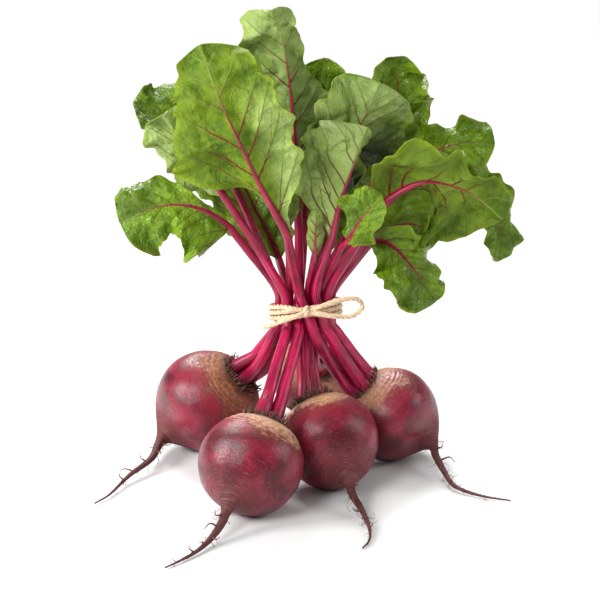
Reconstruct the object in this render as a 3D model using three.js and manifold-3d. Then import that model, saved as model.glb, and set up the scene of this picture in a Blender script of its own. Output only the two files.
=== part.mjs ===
// A bunch of five beetroots with their leaves on, tied round the stems with twine.
// Millimetres, +Z up. Each root stands on a small flat spot, and the stems lean together at the tie.
import * as THREE from "three";
import { mergeVertices } from "three/addons/utils/BufferGeometryUtils.js";
import Module from "manifold-3d";

const wasm = await Module();
wasm.setup();

// The tie, which the stems pass through
const TIE = { centre: [2.5, -3, 106], leanDeg: 12, outerRing: 17, innerRing: 8.6 };
const TIE_HALF_BAND = 10;
const TIE_SLANT = 0.8;
const TIE_SHARE = 0.45;
const STEM_RADIUS = { crown: 4.3, tie: 3.25, leafBase: 2.5, end: 0.7 };
const STEM_GAP = 0.8;
const BUNDLE_RADIUS = TIE.outerRing + STEM_RADIUS.tie;

// Leaf blades
const BLADE_THICKNESS = 0.8;
const MIDRIB_GAP = 0.8;
const MIDRIB_END = 0.86;

// Roots
const FLAT_DEPTH = 0.9;
const SOCKET_DEPTH = 3;
const SOCKET_GAP = 0.3;
const STEM_START = 0.6;
const TAPROOT_TIP = 0.7;

// Each root: its bulb's centre in plan and radius, the directions of its crown and of its tail from there,
// and the points that the taproot follows along the ground
const ROOTS = {
  left: {
    plan: [-64, 16.2],
    radius: 34.8,
    crown: [0.74, -0.12, 0.66],
    tail: [-0.78, -0.22, -0.58],
    taproot: [[-99, -20, 8], [-111, -40, 5], [-122, -66, 2.2], [-129.5, -76.5, 1.3]],
  },
  front_left: {
    plan: [-31.9, -85.6],
    radius: 32.2,
    crown: [0.31, 0.58, 0.755],
    tail: [-0.35, -0.84, -0.41],
    taproot: [[-47.7, -123, 9.5], [-53, -133, 4.8], [-61, -147, 2.4], [-70.7, -159, 1.6], [-78.5, -167, 1.2]],
  },
  front_right: {
    plan: [17.8, -44],
    radius: 31.3,
    crown: [-0.4, 0.52, 0.755],
    tail: [0.36, -0.8, -0.48],
    taproot: [[31.5, -82, 10], [37, -95, 5], [41, -118, 2.4], [40, -132, 1.6], [36, -141, 1.2]],
  },
  right: {
    plan: [60, 3],
    radius: 31.2,
    crown: [-0.7, 0, 0.71],
    tail: [0.81, -0.29, -0.5],
    taproot: [[88, -20, 10.5], [92, -34, 6], [98, -53, 2.8], [113, -65, 1.6], [131.5, -72, 1.2]],
  },
  back: {
    plan: [9.7, 84.5],
    radius: 31.3,
    crown: [0.08, -0.8, 0.6],
    tail: [0, 0.85, -0.52],
    taproot: [[10, 124, 8], [16, 138, 4], [30, 150, 2], [50, 154, 1.2]],
  },
};

// Width of a root at distances from its crown, both as shares of the bulb's radius
const BULB_PROFILE = [
  [0, 0.34], [0.03, 0.43], [0.11, 0.58], [0.25, 0.75], [0.47, 0.91], [0.78, 1],
  [1.1, 0.99], [1.4, 0.88], [1.64, 0.68], [1.82, 0.43], [1.92, 0.26], [2.04, 0.155], [2.2, 0.12],
];
const CROWN_HEIGHT = 0.93;
const NECK_HEIGHT = 1.02;
const BULB_SIDES = 16;
const TAPROOT_STEPS = 9;
const SOCKET_SIDES = 8;
const ROOTLETS = 5;

// Half the width of a blade at shares of its length, as a share of its widest
const OUTLINES = {
  ovate: [
    [0, 0.06], [0.1, 0.36], [0.25, 0.82], [0.42, 1], [0.65, 0.97], [0.85, 0.8], [0.95, 0.6], [1, 0.4],
  ],
  squareBase: [
    [0, 0.05], [0.24, 0.1], [0.33, 0.4], [0.41, 0.97], [0.5, 1],
    [0.62, 0.87], [0.74, 0.7], [0.92, 0.48], [1, 0.36],
  ],
  broadTop: [
    [0, 0.06], [0.11, 0.22], [0.2, 0.5], [0.3, 0.78], [0.45, 0.88],
    [0.7, 1], [0.83, 0.93], [0.93, 0.66], [1, 0.3],
  ],
  even: [
    [0, 0.06], [0.11, 0.26], [0.2, 0.56], [0.3, 0.9], [0.4, 1],
    [0.7, 0.97], [0.84, 0.82], [0.94, 0.62], [1, 0.4],
  ],
  blunt: [[0, 0.06], [0.12, 0.5], [0.3, 0.92], [0.55, 1], [0.8, 1], [0.93, 0.84], [1, 0.6]],
  shoulder: [
    [0, 0.08], [0.1, 0.6], [0.22, 1], [0.38, 0.88], [0.5, 0.52],
    [0.65, 0.52], [0.8, 0.6], [0.93, 0.5], [1, 0.3],
  ],
  wing: [
    [0, 0.08], [0.1, 0.5], [0.25, 0.95], [0.42, 1], [0.52, 0.8], [0.62, 0.45], [0.8, 0.42], [0.93, 0.4], [1, 0.3],
  ],
  twoLobes: [
    [0, 0.1], [0.1, 0.55], [0.24, 0.97], [0.36, 1], [0.46, 0.82], [0.55, 0.48],
    [0.64, 0.74], [0.78, 0.9], [0.92, 0.78], [1, 0.45],
  ],
  heavyTip: [[0, 0.08], [0.2, 0.22], [0.4, 0.4], [0.5, 0.8], [0.6, 1], [0.78, 1], [0.92, 0.8], [1, 0.5]],
};

// Each leaf: the root it grows from, its place in the tie as [ring, degrees], its stem's thickness as a share
// of a usual one, the points of its midrib from the blade's base to its tip, the direction its upper side
// faces, the half widths and outlines of the blade on the two sides of the midrib, the fold along the midrib
// and the curl towards the margins in degrees, and the height, number and phase of the margins' waves.
const LEAVES = {
  front_tall: {
    root: "right", slot: ["outer", 255], stem: 1.15,
    midrib: [[-9, -38, 164], [-24, -46, 195], [-38, -52, 227], [-51, -50, 256], [-61, -42, 283]],
    faces: [0.1, 0.95, 0.2], half: [34, 47], outline: ["broadTop", "squareBase"],
    fold: 8, curl: -12, wave: 3.5, waves: 4.5, phase: 0.4,
  },
  top_centre: {
    root: "front_left", slot: ["inner", 240], stem: 1,
    midrib: [[-3, 5, 190], [-5, 10, 226], [-8, 12, 254], [-12, 12, 278], [-18, 6, 298]],
    faces: [-0.1, 0.95, 0], half: [27, 26], outline: ["wing", "blunt"],
    fold: 12, curl: 10, wave: 4, waves: 5, phase: 1.3,
  },
  top_back: {
    root: "left", slot: ["inner", 120], stem: 0.9,
    midrib: [[2, 18, 160], [6, 26, 200], [11, 30, 240], [16, 30, 264]],
    faces: [0.1, -0.9, 0.3], half: [23, 23], outline: ["ovate", "ovate"],
    fold: 10, curl: 10, wave: 4, waves: 4, phase: 2.1,
  },
  left_back: {
    root: "left", slot: ["outer", 165], stem: 1,
    midrib: [[-41, 19, 177], [-62, 26, 206], [-85, 27, 225], [-108, 20, 236]],
    faces: [0.5, -0.6, 0.6], half: [24, 24], outline: ["ovate", "ovate"],
    fold: 8, curl: 15, wave: 4, waves: 4, phase: 0.9,
  },
  left_low: {
    root: "left", slot: ["outer", 195], stem: 1,
    midrib: [[-46, -12, 163], [-62, -16, 175], [-79, -18, 179], [-97, -20, 176], [-114, -20, 167]],
    faces: [-0.1, -0.75, 0.6], half: [35, 18], outline: ["twoLobes", "heavyTip"],
    fold: 5, curl: -12, wave: 4.5, waves: 4, phase: 2.7,
  },
  left_mid: {
    root: "front_left", slot: ["outer", 225], stem: 1,
    midrib: [[-49, -14, 184], [-62, -12, 201], [-74, -12, 218], [-86, -15, 236]],
    faces: [0.2, 0.9, 0.4], half: [20, 28], outline: ["ovate", "blunt"],
    fold: 10, curl: 0, wave: 4, waves: 4, phase: 1.9,
  },
  right_folded: {
    root: "right", slot: ["outer", 285], stem: 1.05,
    midrib: [[19, -30, 160], [24, -34, 184], [30, -34, 202], [35, -31, 216], [41, -27, 230]],
    faces: [-0.4, 0.9, 0.05], half: [14, 34], outline: ["even", "even"],
    fold: 48, curl: 0, wave: 3, waves: 4, phase: 0.2,
  },
  centre_back: {
    root: "front_right", slot: ["centre", 0], stem: 1,
    midrib: [[18, -6, 182], [28, -14, 210], [39, -14, 234], [49, -13, 255]],
    faces: [-0.1, 0.95, 0.1], half: [33, 27], outline: ["blunt", "blunt"],
    fold: 24, curl: 0, wave: 3.5, waves: 4, phase: 2.4,
  },
  top_right: {
    root: "back", slot: ["inner", 60], stem: 0.9,
    midrib: [[58, 24, 205], [64, 27, 222], [62, 28, 240], [62, 27, 254], [66, 24, 266]],
    faces: [0.2, -0.8, 0.5], half: [22, 21], outline: ["ovate", "ovate"],
    fold: 8, curl: 10, wave: 4, waves: 3, phase: 0.1,
  },
  right_high: {
    root: "back", slot: ["inner", 0], stem: 1,
    midrib: [[57, 12, 188], [79, 7, 205], [101, 2, 214], [122, -2, 214]],
    faces: [-0.1, -0.75, 0.65], half: [28, 20], outline: ["shoulder", "blunt"],
    fold: 10, curl: 10, wave: 4, waves: 4, phase: 1.1,
  },
  right_front: {
    root: "right", slot: ["outer", 315], stem: 1.1,
    midrib: [
      [50, -32, 181], [61, -38, 192], [75, -42, 199], [91, -42, 197], [107, -38, 189], [125, -32, 173],
    ],
    faces: [0.1, 0.7, 0.7], half: [51, 30], outline: ["heavyTip", "shoulder"],
    fold: 5, curl: -20, wave: 3.5, waves: 4.5, phase: 2.9,
  },
  far_right: {
    root: "back", slot: ["outer", 45], stem: 1,
    midrib: [[84, 24, 187], [108, 24, 181], [126, 20, 166], [128, 14, 133]],
    faces: [0.4, -0.6, 0.7], half: [14, 17], outline: ["ovate", "ovate"],
    fold: 8, curl: 0, wave: 3.5, waves: 4, phase: 0.6,
  },
  lower_right: {
    root: "right", slot: ["outer", 345], stem: 1,
    midrib: [[43, -16, 154], [55, -20, 154], [68, -23, 142], [86, -24, 118]],
    faces: [0.4, -0.65, 0.65], half: [15, 25], outline: ["ovate", "ovate"],
    fold: 5, curl: 0, wave: 3.5, waves: 4, phase: 1.5,
  },
  right_mid: {
    root: "right", slot: ["outer", 15], stem: 0.9,
    midrib: [[48, -2, 154], [60, -3, 161], [73, -3, 162], [86, -4, 150]],
    faces: [0, -0.7, 0.7], half: [20, 18], outline: ["ovate", "ovate"],
    fold: 8, curl: 0, wave: 3, waves: 3, phase: 2.2,
  },
  small_centre: {
    root: "front_right", slot: ["gap", 270], stem: 0.6, small: true,
    midrib: [[8, -31, 147], [8.5, -34, 163], [9, -32, 180]],
    faces: [0, 0.95, 0], half: [6, 6], outline: ["ovate", "ovate"],
    fold: 30, curl: 0, wave: 1, waves: 2, phase: 0,
  },
  small_left: {
    root: "front_left", slot: ["inner", 180], stem: 0.8, small: true,
    midrib: [[-9, -20, 162], [-10, -18, 179], [-9, -16, 196]],
    faces: [0, 0.95, 0], half: [8, 8], outline: ["ovate", "ovate"],
    fold: 20, curl: 0, wave: 1.5, waves: 2, phase: 1,
  },
  centre_right: {
    root: "front_right", slot: ["inner", 300], stem: 0.8,
    midrib: [[29, -42, 162], [35, -46, 174], [42, -49, 184], [49, -49, 193]],
    faces: [-0.2, -0.8, 0.5], half: [15, 19], outline: ["ovate", "ovate"],
    fold: 8, curl: 0, wave: 3, waves: 3, phase: 0.5,
  },
  back_left: {
    root: "left", slot: ["outer", 135], stem: 1,
    midrib: [[-15, 27, 131], [-34, 41, 168], [-48, 55, 200], [-56, 62, 228]],
    faces: [0.3, -0.85, 0.3], half: [30, 30], outline: ["blunt", "blunt"],
    fold: 8, curl: -10, wave: 4, waves: 4, phase: 2.0,
  },
  back_right: {
    root: "back", slot: ["outer", 75], stem: 1,
    midrib: [[12, 33, 131], [19, 46, 166], [26, 56, 200], [31, 60, 228]],
    faces: [0, -0.9, 0.35], half: [26, 28], outline: ["blunt", "blunt"],
    fold: 8, curl: -10, wave: 4, waves: 4, phase: 2.6,
  },
};

const LEAF_STATIONS = 14;
const LEAF_ACROSS = [0, 0.4, 0.74, 1];
const SMALL_LEAF_STATIONS = 7;
const SMALL_LEAF_ACROSS = [0, 0.55, 1];
const STEM_SIDES = 6;
const STEM_STEPS = 11;
const MIDRIB_STEPS = 4;

// Twine: its turns, how much it rises to the right, and the free loop and end as [right, forward, up]
const TWINE_RADIUS = 1.7;
const TWINE_SIDES = 8;
const TWINE_PITCH = 3.6;
const TWINE_TURNS = 3;
const TWINE_RISE = 0.13;
const TWINE_CLEAR = 0.9;
const KNOT_ANGLE = -88;
const KNOT = [1, 27, 0.5];
const LOOP = [
  [-1, 27, 0], [9, 28.5, 2.5], [22, 29, 5.5], [33, 27, 4], [36, 25, -1.5],
  [30, 26, -6], [18, 29, -4.5], [8, 29, -1.5], [-1, 27, 1],
];
const LOOSE_END = [[2, 28, 0.5], [-4, 28.5, -1], [-14, 25, -3.5], [-21, 20, -5.5], [-27, 13, -7]];

const add = (a, b) => a.map((v, i) => v + b[i]);
const sub = (a, b) => a.map((v, i) => v - b[i]);
const scale = (a, k) => a.map((v) => v * k);
const dot = (a, b) => a[0] * b[0] + a[1] * b[1] + a[2] * b[2];
const cross = (a, b) => [a[1] * b[2] - a[2] * b[1], a[2] * b[0] - a[0] * b[2], a[0] * b[1] - a[1] * b[0]];
const length = (a) => Math.hypot(a[0], a[1], a[2]);
const unit = (a) => scale(a, 1 / length(a));
const mix = (a, b, k) => add(scale(a, 1 - k), scale(b, k));
const radians = (degrees) => (degrees * Math.PI) / 180;

// Even steps from one number to another
function spread(from, to, steps) {
  return Array.from({ length: steps + 1 }, (_, i) => from + ((to - from) * i) / steps);
}

// A repeatable draw of numbers from 0 to 1
let seed = 20;
const random = () => (seed = (seed * 16807) % 2147483647) / 2147483647;

// A smooth line through points, as many short straight steps with the length run so far at each
function smoothLine(points, stepsEach = 10) {
  const curve = new THREE.CatmullRomCurve3(points.map((p) => new THREE.Vector3(...p)), false, "centripetal");
  const count = (points.length - 1) * stepsEach;
  const line = [];
  for (let i = 0; i <= count; i++) line.push(curve.getPoint(i / count).toArray());
  const run = [0];
  for (let i = 1; i < line.length; i++) run.push(run[i - 1] + length(sub(line[i], line[i - 1])));
  return { line, run, total: run.at(-1) };
}

// The point of a smooth line at a length along it
function pointAt(path, s) {
  const at = Math.min(Math.max(s, 0), path.total);
  let i = 1;
  while (i < path.run.length - 1 && path.run[i] < at) i++;
  const k = (at - path.run[i - 1]) / (path.run[i] - path.run[i - 1]);
  return mix(path.line[i - 1], path.line[i], k);
}

function directionAt(path, s, reach = 1.5) {
  return unit(sub(pointAt(path, Math.min(s + reach, path.total)), pointAt(path, Math.max(s - reach, 0))));
}

const squareTo = (v, direction) => unit(sub(v, scale(direction, dot(v, direction))));

// A closed tube through rings of points, where a ring may have half as many points as the one before
function closedTube(rings) {
  const faces = [];
  let first = 0;
  for (let i = 0; i + 1 < rings.length; i++) {
    const sides = rings[i].length;
    const nextSides = rings[i + 1].length;
    const each = sides / nextSides;
    const next = first + sides;
    for (let j = 0; j < sides; j++) {
      const near = next + (Math.floor(j / each) % nextSides);
      const far = next + (Math.floor((j + 1) / each) % nextSides);
      faces.push([first + j, first + ((j + 1) % sides), far]);
      if (near !== far) faces.push([first + j, far, near]);
    }
    first = next;
  }
  for (let j = 1; j + 1 < rings[0].length; j++) faces.push([0, j + 1, j]);
  for (let j = 1; j + 1 < rings.at(-1).length; j++) faces.push([first, first + j, first + j + 1]);
  return solidFrom(rings.flat(), faces);
}

function solidFrom(vertices, faces) {
  const geometry = new THREE.BufferGeometry();
  geometry.setAttribute("position", new THREE.Float32BufferAttribute(vertices.flat(), 3));
  geometry.setIndex(faces.flat());
  const merged = mergeVertices(geometry, 1e-4);
  return new wasm.Manifold(
    new wasm.Mesh({
      numProp: 3,
      vertProperties: merged.attributes.position.array,
      triVerts: new Uint32Array(merged.index.array),
    }),
  );
}

function geometryOf(solid) {
  const mesh = solid.getMesh();
  const geometry = new THREE.BufferGeometry();
  geometry.setAttribute("position", new THREE.BufferAttribute(mesh.vertProperties, 3));
  geometry.setIndex(new THREE.BufferAttribute(mesh.triVerts, 1));
  geometry.computeVertexNormals();
  return geometry;
}

// A round tube along a path with a radius for each share of its length
function roundTube(path, radiusOf, sides, steps, from = 0, to = path.total, startSide = [0.3, 0.2, 1]) {
  let side = squareTo(startSide, directionAt(path, from));
  const rings = [];
  for (let i = 0; i <= steps; i++) {
    const s = from + ((to - from) * i) / steps;
    const direction = directionAt(path, s);
    side = squareTo(side, direction);
    const other = cross(direction, side);
    const centre = pointAt(path, s);
    const radius = radiusOf(i / steps);
    rings.push(circle(centre, side, other, radius, sides));
  }
  return closedTube(rings);
}

function circle(centre, u, v, radius, sides, shape = () => 1) {
  return Array.from({ length: sides }, (_, j) => {
    const angle = (2 * Math.PI * j) / sides;
    const r = radius * shape(angle);
    return add(centre, add(scale(u, r * Math.cos(angle)), scale(v, r * Math.sin(angle))));
  });
}

// The frame of the tie: its own axis leans back, away from the front
const lean = radians(TIE.leanDeg);
const TIE_AXIS = [0, Math.sin(lean), Math.cos(lean)];
const TIE_BACK = [0, Math.cos(lean), -Math.sin(lean)];
const TIE_RIGHT = [1, 0, 0];

function inTie(radius, angle, height) {
  const across = add(scale(TIE_RIGHT, radius * Math.cos(angle)), scale(TIE_BACK, radius * Math.sin(angle)));
  return add(TIE.centre, add(across, scale(TIE_AXIS, height)));
}

const RING_RADIUS = { outer: TIE.outerRing, inner: TIE.innerRing, gap: 12, centre: 0 };
const slotPoint = ([ring, degrees], height) => inTie(RING_RADIUS[ring], radians(degrees), height);

// Where a root's bulb, crown and neck are
function bulbOf(root) {
  const axis = unit(root.crown);
  const centre = [root.plan[0], root.plan[1], root.radius - FLAT_DEPTH];
  const crown = add(centre, scale(axis, CROWN_HEIGHT * root.radius));
  const neck = add(centre, scale(unit(root.tail), NECK_HEIGHT * root.radius));
  return { axis, centre, crown, neck };
}

// The first point of each stem of a root: in a ring on its crown, in the order in which they pass the tie
function crownPlaces(rootName) {
  const { axis, crown } = bulbOf(ROOTS[rootName]);
  const own = Object.keys(LEAVES).filter((name) => LEAVES[name].root === rootName);
  const middle = scale(own.map((name) => slotPoint(LEAVES[name].slot, 0)).reduce(add), 1 / own.length);
  const u = squareTo([1, 0, 0.01], axis);
  const v = cross(axis, u);
  const angles = own.map((name) => {
    const away = sub(slotPoint(LEAVES[name].slot, 0), middle);
    return Math.atan2(dot(away, v), dot(away, u));
  });
  const order = own.map((_, i) => i).sort((a, b) => angles[a] - angles[b]);
  const ring = (STEM_RADIUS.crown * 1.06 + SOCKET_GAP) / Math.sin(Math.PI / own.length);
  const places = {};
  order.forEach((i, rank) => {
    const angle = angles[order[0]] + (2 * Math.PI * rank) / own.length;
    const out = add(scale(u, ring * Math.cos(angle)), scale(v, ring * Math.sin(angle)));
    places[own[i]] = { foot: add(add(crown, scale(axis, -SOCKET_DEPTH)), out), axis, out };
  });
  return places;
}

// A stem's radius at a share of its length up to the blade: it narrows to the tie, and again above it
const stemRadius = (leaf) => (share) => {
  const { crown, tie, leafBase } = STEM_RADIUS;
  const below = crown + ((tie - crown) * share) / TIE_SHARE;
  const above = tie + ((leafBase - tie) * (share - TIE_SHARE)) / (1 - TIE_SHARE);
  return leaf.stem * (share < TIE_SHARE ? below : above);
};

// Stems as chains of points, pushed apart until none touches another
const CHAIN = 20;
const ROUNDS = 160;

function startChain(leaf, place) {
  const neck = add(place.foot, scale(place.axis, 6));
  const way = sub(leaf.midrib[0], place.foot);
  const aslant = scale([way[0], way[1], 0], (TIE_SLANT * TIE_HALF_BAND) / way[2]);
  const low = sub(slotPoint(leaf.slot, -TIE_HALF_BAND), aslant);
  const high = add(slotPoint(leaf.slot, TIE_HALF_BAND), aslant);
  const path = smoothLine([place.foot, neck, low, high, leaf.midrib[0], leaf.midrib[1]]);
  const end = path.run[40];
  return Array.from({ length: CHAIN }, (_, i) => pointAt(path, (end * i) / (CHAIN - 1)));
}

// The closest points of two segments, as shares of each
function closest(p, q, r, s) {
  const d1 = sub(q, p);
  const d2 = sub(s, r);
  const w = sub(p, r);
  const a = dot(d1, d1);
  const e = dot(d2, d2);
  const b = dot(d1, d2);
  const c = dot(d1, w);
  const f = dot(d2, w);
  const clamp = (x) => Math.min(1, Math.max(0, x));
  const m = clamp((b * f - c * e) / (a * e - b * b + 1e-9));
  const n = clamp((b * m + f) / e);
  return [clamp((b * n - c) / a), n];
}

function pushApart(chains, radii) {
  const count = chains.length;
  for (let round = 0; round < ROUNDS; round++) {
    const moves = chains.map((chain) => chain.map(() => [0, 0, 0]));
    for (let a = 0; a < count; a++)
      for (let b = a + 1; b < count; b++)
        for (let i = 0; i + 1 < CHAIN; i++)
          for (let j = 0; j + 1 < CHAIN; j++) {
            if (Math.abs(chains[a][i][2] - chains[b][j][2]) > 22) continue;
            const [m, n] = closest(chains[a][i], chains[a][i + 1], chains[b][j], chains[b][j + 1]);
            const gap = sub(mix(chains[a][i], chains[a][i + 1], m), mix(chains[b][j], chains[b][j + 1], n));
            const far = Math.max(length(gap), 1e-6);
            const wanted = radii[a][i] + radii[b][j] + STEM_GAP;
            if (far >= wanted) continue;
            const push = scale(gap, (0.22 * (wanted - far)) / far);
            moves[a][i] = add(moves[a][i], scale(push, 1 - m));
            moves[a][i + 1] = add(moves[a][i + 1], scale(push, m));
            moves[b][j] = sub(moves[b][j], scale(push, 1 - n));
            moves[b][j + 1] = sub(moves[b][j + 1], scale(push, n));
          }
    chains.forEach((chain, a) => {
      const before = chain.map((p) => [...p]);
      for (let i = 2; i < CHAIN - 1; i++) {
        const even = sub(scale(add(before[i - 1], before[i + 1]), 0.5), before[i]);
        chain[i] = insideTie(add(before[i], add(moves[a][i], scale(even, 0.12))), radii[a][i]);
      }
    });
  }
  return chains;
}

// Holds a point of a stem inside the twine while it is at the tie's height
function insideTie(point, radius) {
  const from = sub(point, TIE.centre);
  const height = dot(from, TIE_AXIS);
  const out = sub(from, scale(TIE_AXIS, height));
  const far = length(out);
  const past = Math.max(0, Math.abs(height) - TIE_HALF_BAND);
  const opening = height < 0 ? 0.9 * past : 0.5 * past + 0.012 * past ** 2;
  const most = BUNDLE_RADIUS - radius + opening;
  return far <= most ? point : sub(point, scale(out, (far - most) / far));
}

const leafNames = Object.keys(LEAVES);
const places = Object.assign({}, ...Object.keys(ROOTS).map(crownPlaces));
const stemRadii = leafNames.map((name) =>
  Array.from({ length: CHAIN }, (_, i) => stemRadius(LEAVES[name])(i / (CHAIN - 1))),
);
const stemChains = pushApart(leafNames.map((name) => startChain(LEAVES[name], places[name])), stemRadii);

// The whole line of a leaf, from its foot in the crown to its tip, with where the blade begins
function leafLine(name) {
  const chain = stemChains[leafNames.indexOf(name)];
  const points = [...chain, ...LEAVES[name].midrib.slice(1)];
  const path = smoothLine(points);
  return { path, bladeFrom: path.run[(CHAIN - 1) * 10] };
}

// Directions across a leaf's line and out of its upper side, carried along it without twist
function leafFrames(leaf, line, stations) {
  const start = stations.findIndex((s) => s >= line.bladeFrom - 1e-6);
  const ups = [];
  let up = squareTo(leaf.faces, directionAt(line.path, stations[start]));
  const turnedAt = (i) => (up = squareTo(up, directionAt(line.path, stations[i])));
  for (let i = start; i < stations.length; i++) ups[i] = turnedAt(i);
  up = ups[start];
  for (let i = start - 1; i >= 0; i--) ups[i] = turnedAt(i);
  return stations.map((s, i) => ({
    centre: pointAt(line.path, s),
    up: ups[i],
    side: unit(cross(directionAt(line.path, s), ups[i])),
  }));
}

// The width of an outline at a share of its length: a smooth curve through its points
function outlineAt(name, share) {
  const points = OUTLINES[name];
  const slope = (i) => {
    const [a, b] = [points[Math.max(i - 1, 0)], points[Math.min(i + 1, points.length - 1)]];
    return (b[1] - a[1]) / (b[0] - a[0]);
  };
  let i = 0;
  while (i < points.length - 2 && points[i + 1][0] < share) i++;
  const [[x0, y0], [x1, y1]] = [points[i], points[i + 1]];
  const step = x1 - x0;
  const k = Math.min(1, Math.max(0, (share - x0) / step));
  const rising = k * k * (3 - 2 * k);
  const bends = step * (slope(i) * k * (1 - k) ** 2 - slope(i + 1) * k * k * (1 - k));
  return Math.max(0.04, y0 + (y1 - y0) * rising + bends);
}

const midribRadius = (leaf, share) =>
  Math.max(STEM_RADIUS.end, STEM_RADIUS.leafBase * leaf.stem * Math.max(0, 1 - share / MIDRIB_END) ** 1.15);

// A stalk is a little flatter on its upper side
const flatAbove = (angle) => 1 - 0.16 * Math.max(0, -Math.sin(angle));
const stemStations = (line) => spread(STEM_START, line.bladeFrom, STEM_STEPS);

function stemSolid(name) {
  const leaf = LEAVES[name];
  const line = leafLine(name);
  const blade = line.path.total - line.bladeFrom;
  const under = spread(line.bladeFrom, line.bladeFrom + blade * MIDRIB_END, MIDRIB_STEPS);
  const stations = [...stemStations(line), ...under.slice(1)];
  const rings = leafFrames(leaf, line, stations).map(({ centre, up, side }, i) => {
    const along = stations[i] / line.bladeFrom;
    const radius =
      along <= 1 ? stemRadius(leaf)(along) : midribRadius(leaf, (stations[i] - line.bladeFrom) / blade);
    return circle(centre, side, scale(up, -1), radius, STEM_SIDES, flatAbove);
  });
  return closedTube(rings);
}

// How far across and up a line goes that starts at a tilt and bends evenly
function arc(tilt, bend, run) {
  if (Math.abs(bend) < 1e-4) return [run * Math.cos(tilt), run * Math.sin(tilt)];
  const end = tilt + bend * run;
  return [(Math.sin(end) - Math.sin(tilt)) / bend, (Math.cos(tilt) - Math.cos(end)) / bend];
}

// A point of the blade's middle surface: share along the midrib, t from -1 to 1 across it
function bladePoint(leaf, frame, share, t, lift) {
  const side = t < 0 ? 0 : 1;
  const lobes = 1 + 0.05 * Math.sin(2 * Math.PI * leaf.waves * 1.3 * share + leaf.phase * 2 + side * 2);
  const half = Math.max(1, leaf.half[side] * outlineAt(leaf.outline[side], share) * lobes);
  const d = Math.abs(t) * half;
  const bend = radians(leaf.curl) / leaf.half[side];
  const tilt = radians(leaf.fold) * (1.15 - 0.45 * share);
  const [out, rise] = arc(tilt, bend, d);
  const full = Math.min(1, half / (0.5 * leaf.half[side]));
  const turn = 2 * Math.PI * leaf.waves * share + leaf.phase + side * 1.9;
  const ripple = leaf.wave * full * Math.abs(t) ** 2.5 * Math.sin(turn);
  const over = add(scale(frame.side, Math.sign(t) * out), scale(frame.up, lift + rise + ripple));
  return add(frame.centre, over);
}

function bladeSolid(name) {
  const leaf = LEAVES[name];
  const line = leafLine(name);
  const blade = line.path.total - line.bladeFrom;
  const count = leaf.small ? SMALL_LEAF_STATIONS : LEAF_STATIONS;
  const half = leaf.small ? SMALL_LEAF_ACROSS : LEAF_ACROSS;
  const across = [...half.slice(1).reverse().map((t) => -t), ...half];
  const shares = spread(0, 1, count).map((share) => share + 0.03 * Math.sin(2 * Math.PI * share));
  const frames = leafFrames(leaf, line, shares.map((share) => line.bladeFrom + share * blade));
  const middle = shares.map((share, i) => {
    const rib = share < MIDRIB_END ? midribRadius(leaf, share) : STEM_RADIUS.end;
    const lift = rib * 0.84 + MIDRIB_GAP + BLADE_THICKNESS / 2;
    return across.map((t) => bladePoint(leaf, frames[i], share, t, lift));
  });
  return sheetSolid(middle, frames.map((f) => f.up), BLADE_THICKNESS);
}

// A sheet given by rows of points, made solid with half its thickness on either side
function sheetSolid(rows, ups, thickness) {
  const wide = rows[0].length;
  const normals = rows.map((row, i) =>
    row.map((_, j) => {
      const along = sub(rows[Math.min(i + 1, rows.length - 1)][j], rows[Math.max(i - 1, 0)][j]);
      const over = sub(row[Math.min(j + 1, wide - 1)], row[Math.max(j - 1, 0)]);
      const n = unit(cross(over, along));
      return dot(n, ups[i]) < 0 ? scale(n, -1) : n;
    }),
  );
  const raised = (k, i, j) => add(rows[i][j], scale(normals[i][j], k * thickness));
  const layer = (k) => rows.flatMap((row, i) => row.map((_, j) => raised(k, i, j)));
  const vertices = [...layer(0.5), ...layer(-0.5)];
  const below = rows.length * wide;
  const faces = [];
  for (let i = 0; i + 1 < rows.length; i++)
    for (let j = 0; j + 1 < wide; j++) {
      const a = i * wide + j;
      const [b, c, d] = [a + 1, a + wide + 1, a + wide];
      faces.push([a, b, c], [a, c, d], [below + a, below + c, below + b], [below + a, below + d, below + c]);
    }
  const last = below - wide;
  const rim = [
    ...spread(0, wide - 1, wide - 1),
    ...spread(wide - 1, below - 1, rows.length - 1),
    ...spread(below - 1, last, wide - 1),
    ...spread(last, 0, rows.length - 1),
  ];
  for (let i = 0; i + 1 < rim.length; i++) {
    const [a, b] = [Math.round(rim[i]), Math.round(rim[i + 1])];
    if (a !== b) faces.push([a, below + b, b], [a, below + a, below + b]);
  }
  const solid = solidFrom(vertices, faces);
  return solid.volume() > 0 ? solid : solidFrom(vertices, faces.map(([a, b, c]) => [a, c, b]));
}

// A bulb with its taproot and side roots, with a plain hole in its crown for each stem
function rootSolid(rootName) {
  const root = ROOTS[rootName];
  const { centre, crown, neck } = bulbOf(root);
  const path = smoothLine([crown, centre, neck, ...root.taproot]);
  const bulbEnd = BULB_PROFILE.at(-1)[0] * root.radius;
  const neckRadius = BULB_PROFILE.at(-1)[1] * root.radius;
  const taprootRadius = (share) => TAPROOT_TIP + (neckRadius - TAPROOT_TIP) * (1 - share) ** 1.35;
  const sections = BULB_PROFILE.map(([s, width]) => [s * root.radius, width * root.radius, BULB_SIDES]);
  for (const share of spread(0, 1, TAPROOT_STEPS).slice(1)) {
    const s = bulbEnd + share * (path.total - bulbEnd);
    sections.push([s, taprootRadius(share), BULB_SIDES / 2]);
  }
  let side = [0, 1, 0.1];
  const rings = sections.map(([s, radius, sides]) => {
    const direction = directionAt(path, s);
    side = squareTo(side, direction);
    return circle(pointAt(path, s), side, cross(direction, side), radius, sides);
  });
  let solid = closedTube(rings);
  for (const rootlet of rootlets(path, bulbEnd, taprootRadius)) solid = solid.add(rootlet);
  for (const name of leafNames.filter((leaf) => LEAVES[leaf].root === rootName))
    solid = solid.subtract(socket(LEAVES[name], leafLine(name)));
  return largest(solid.subtract(boxSolid([-300, -300, -90], [300, 300, 0])));
}

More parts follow.
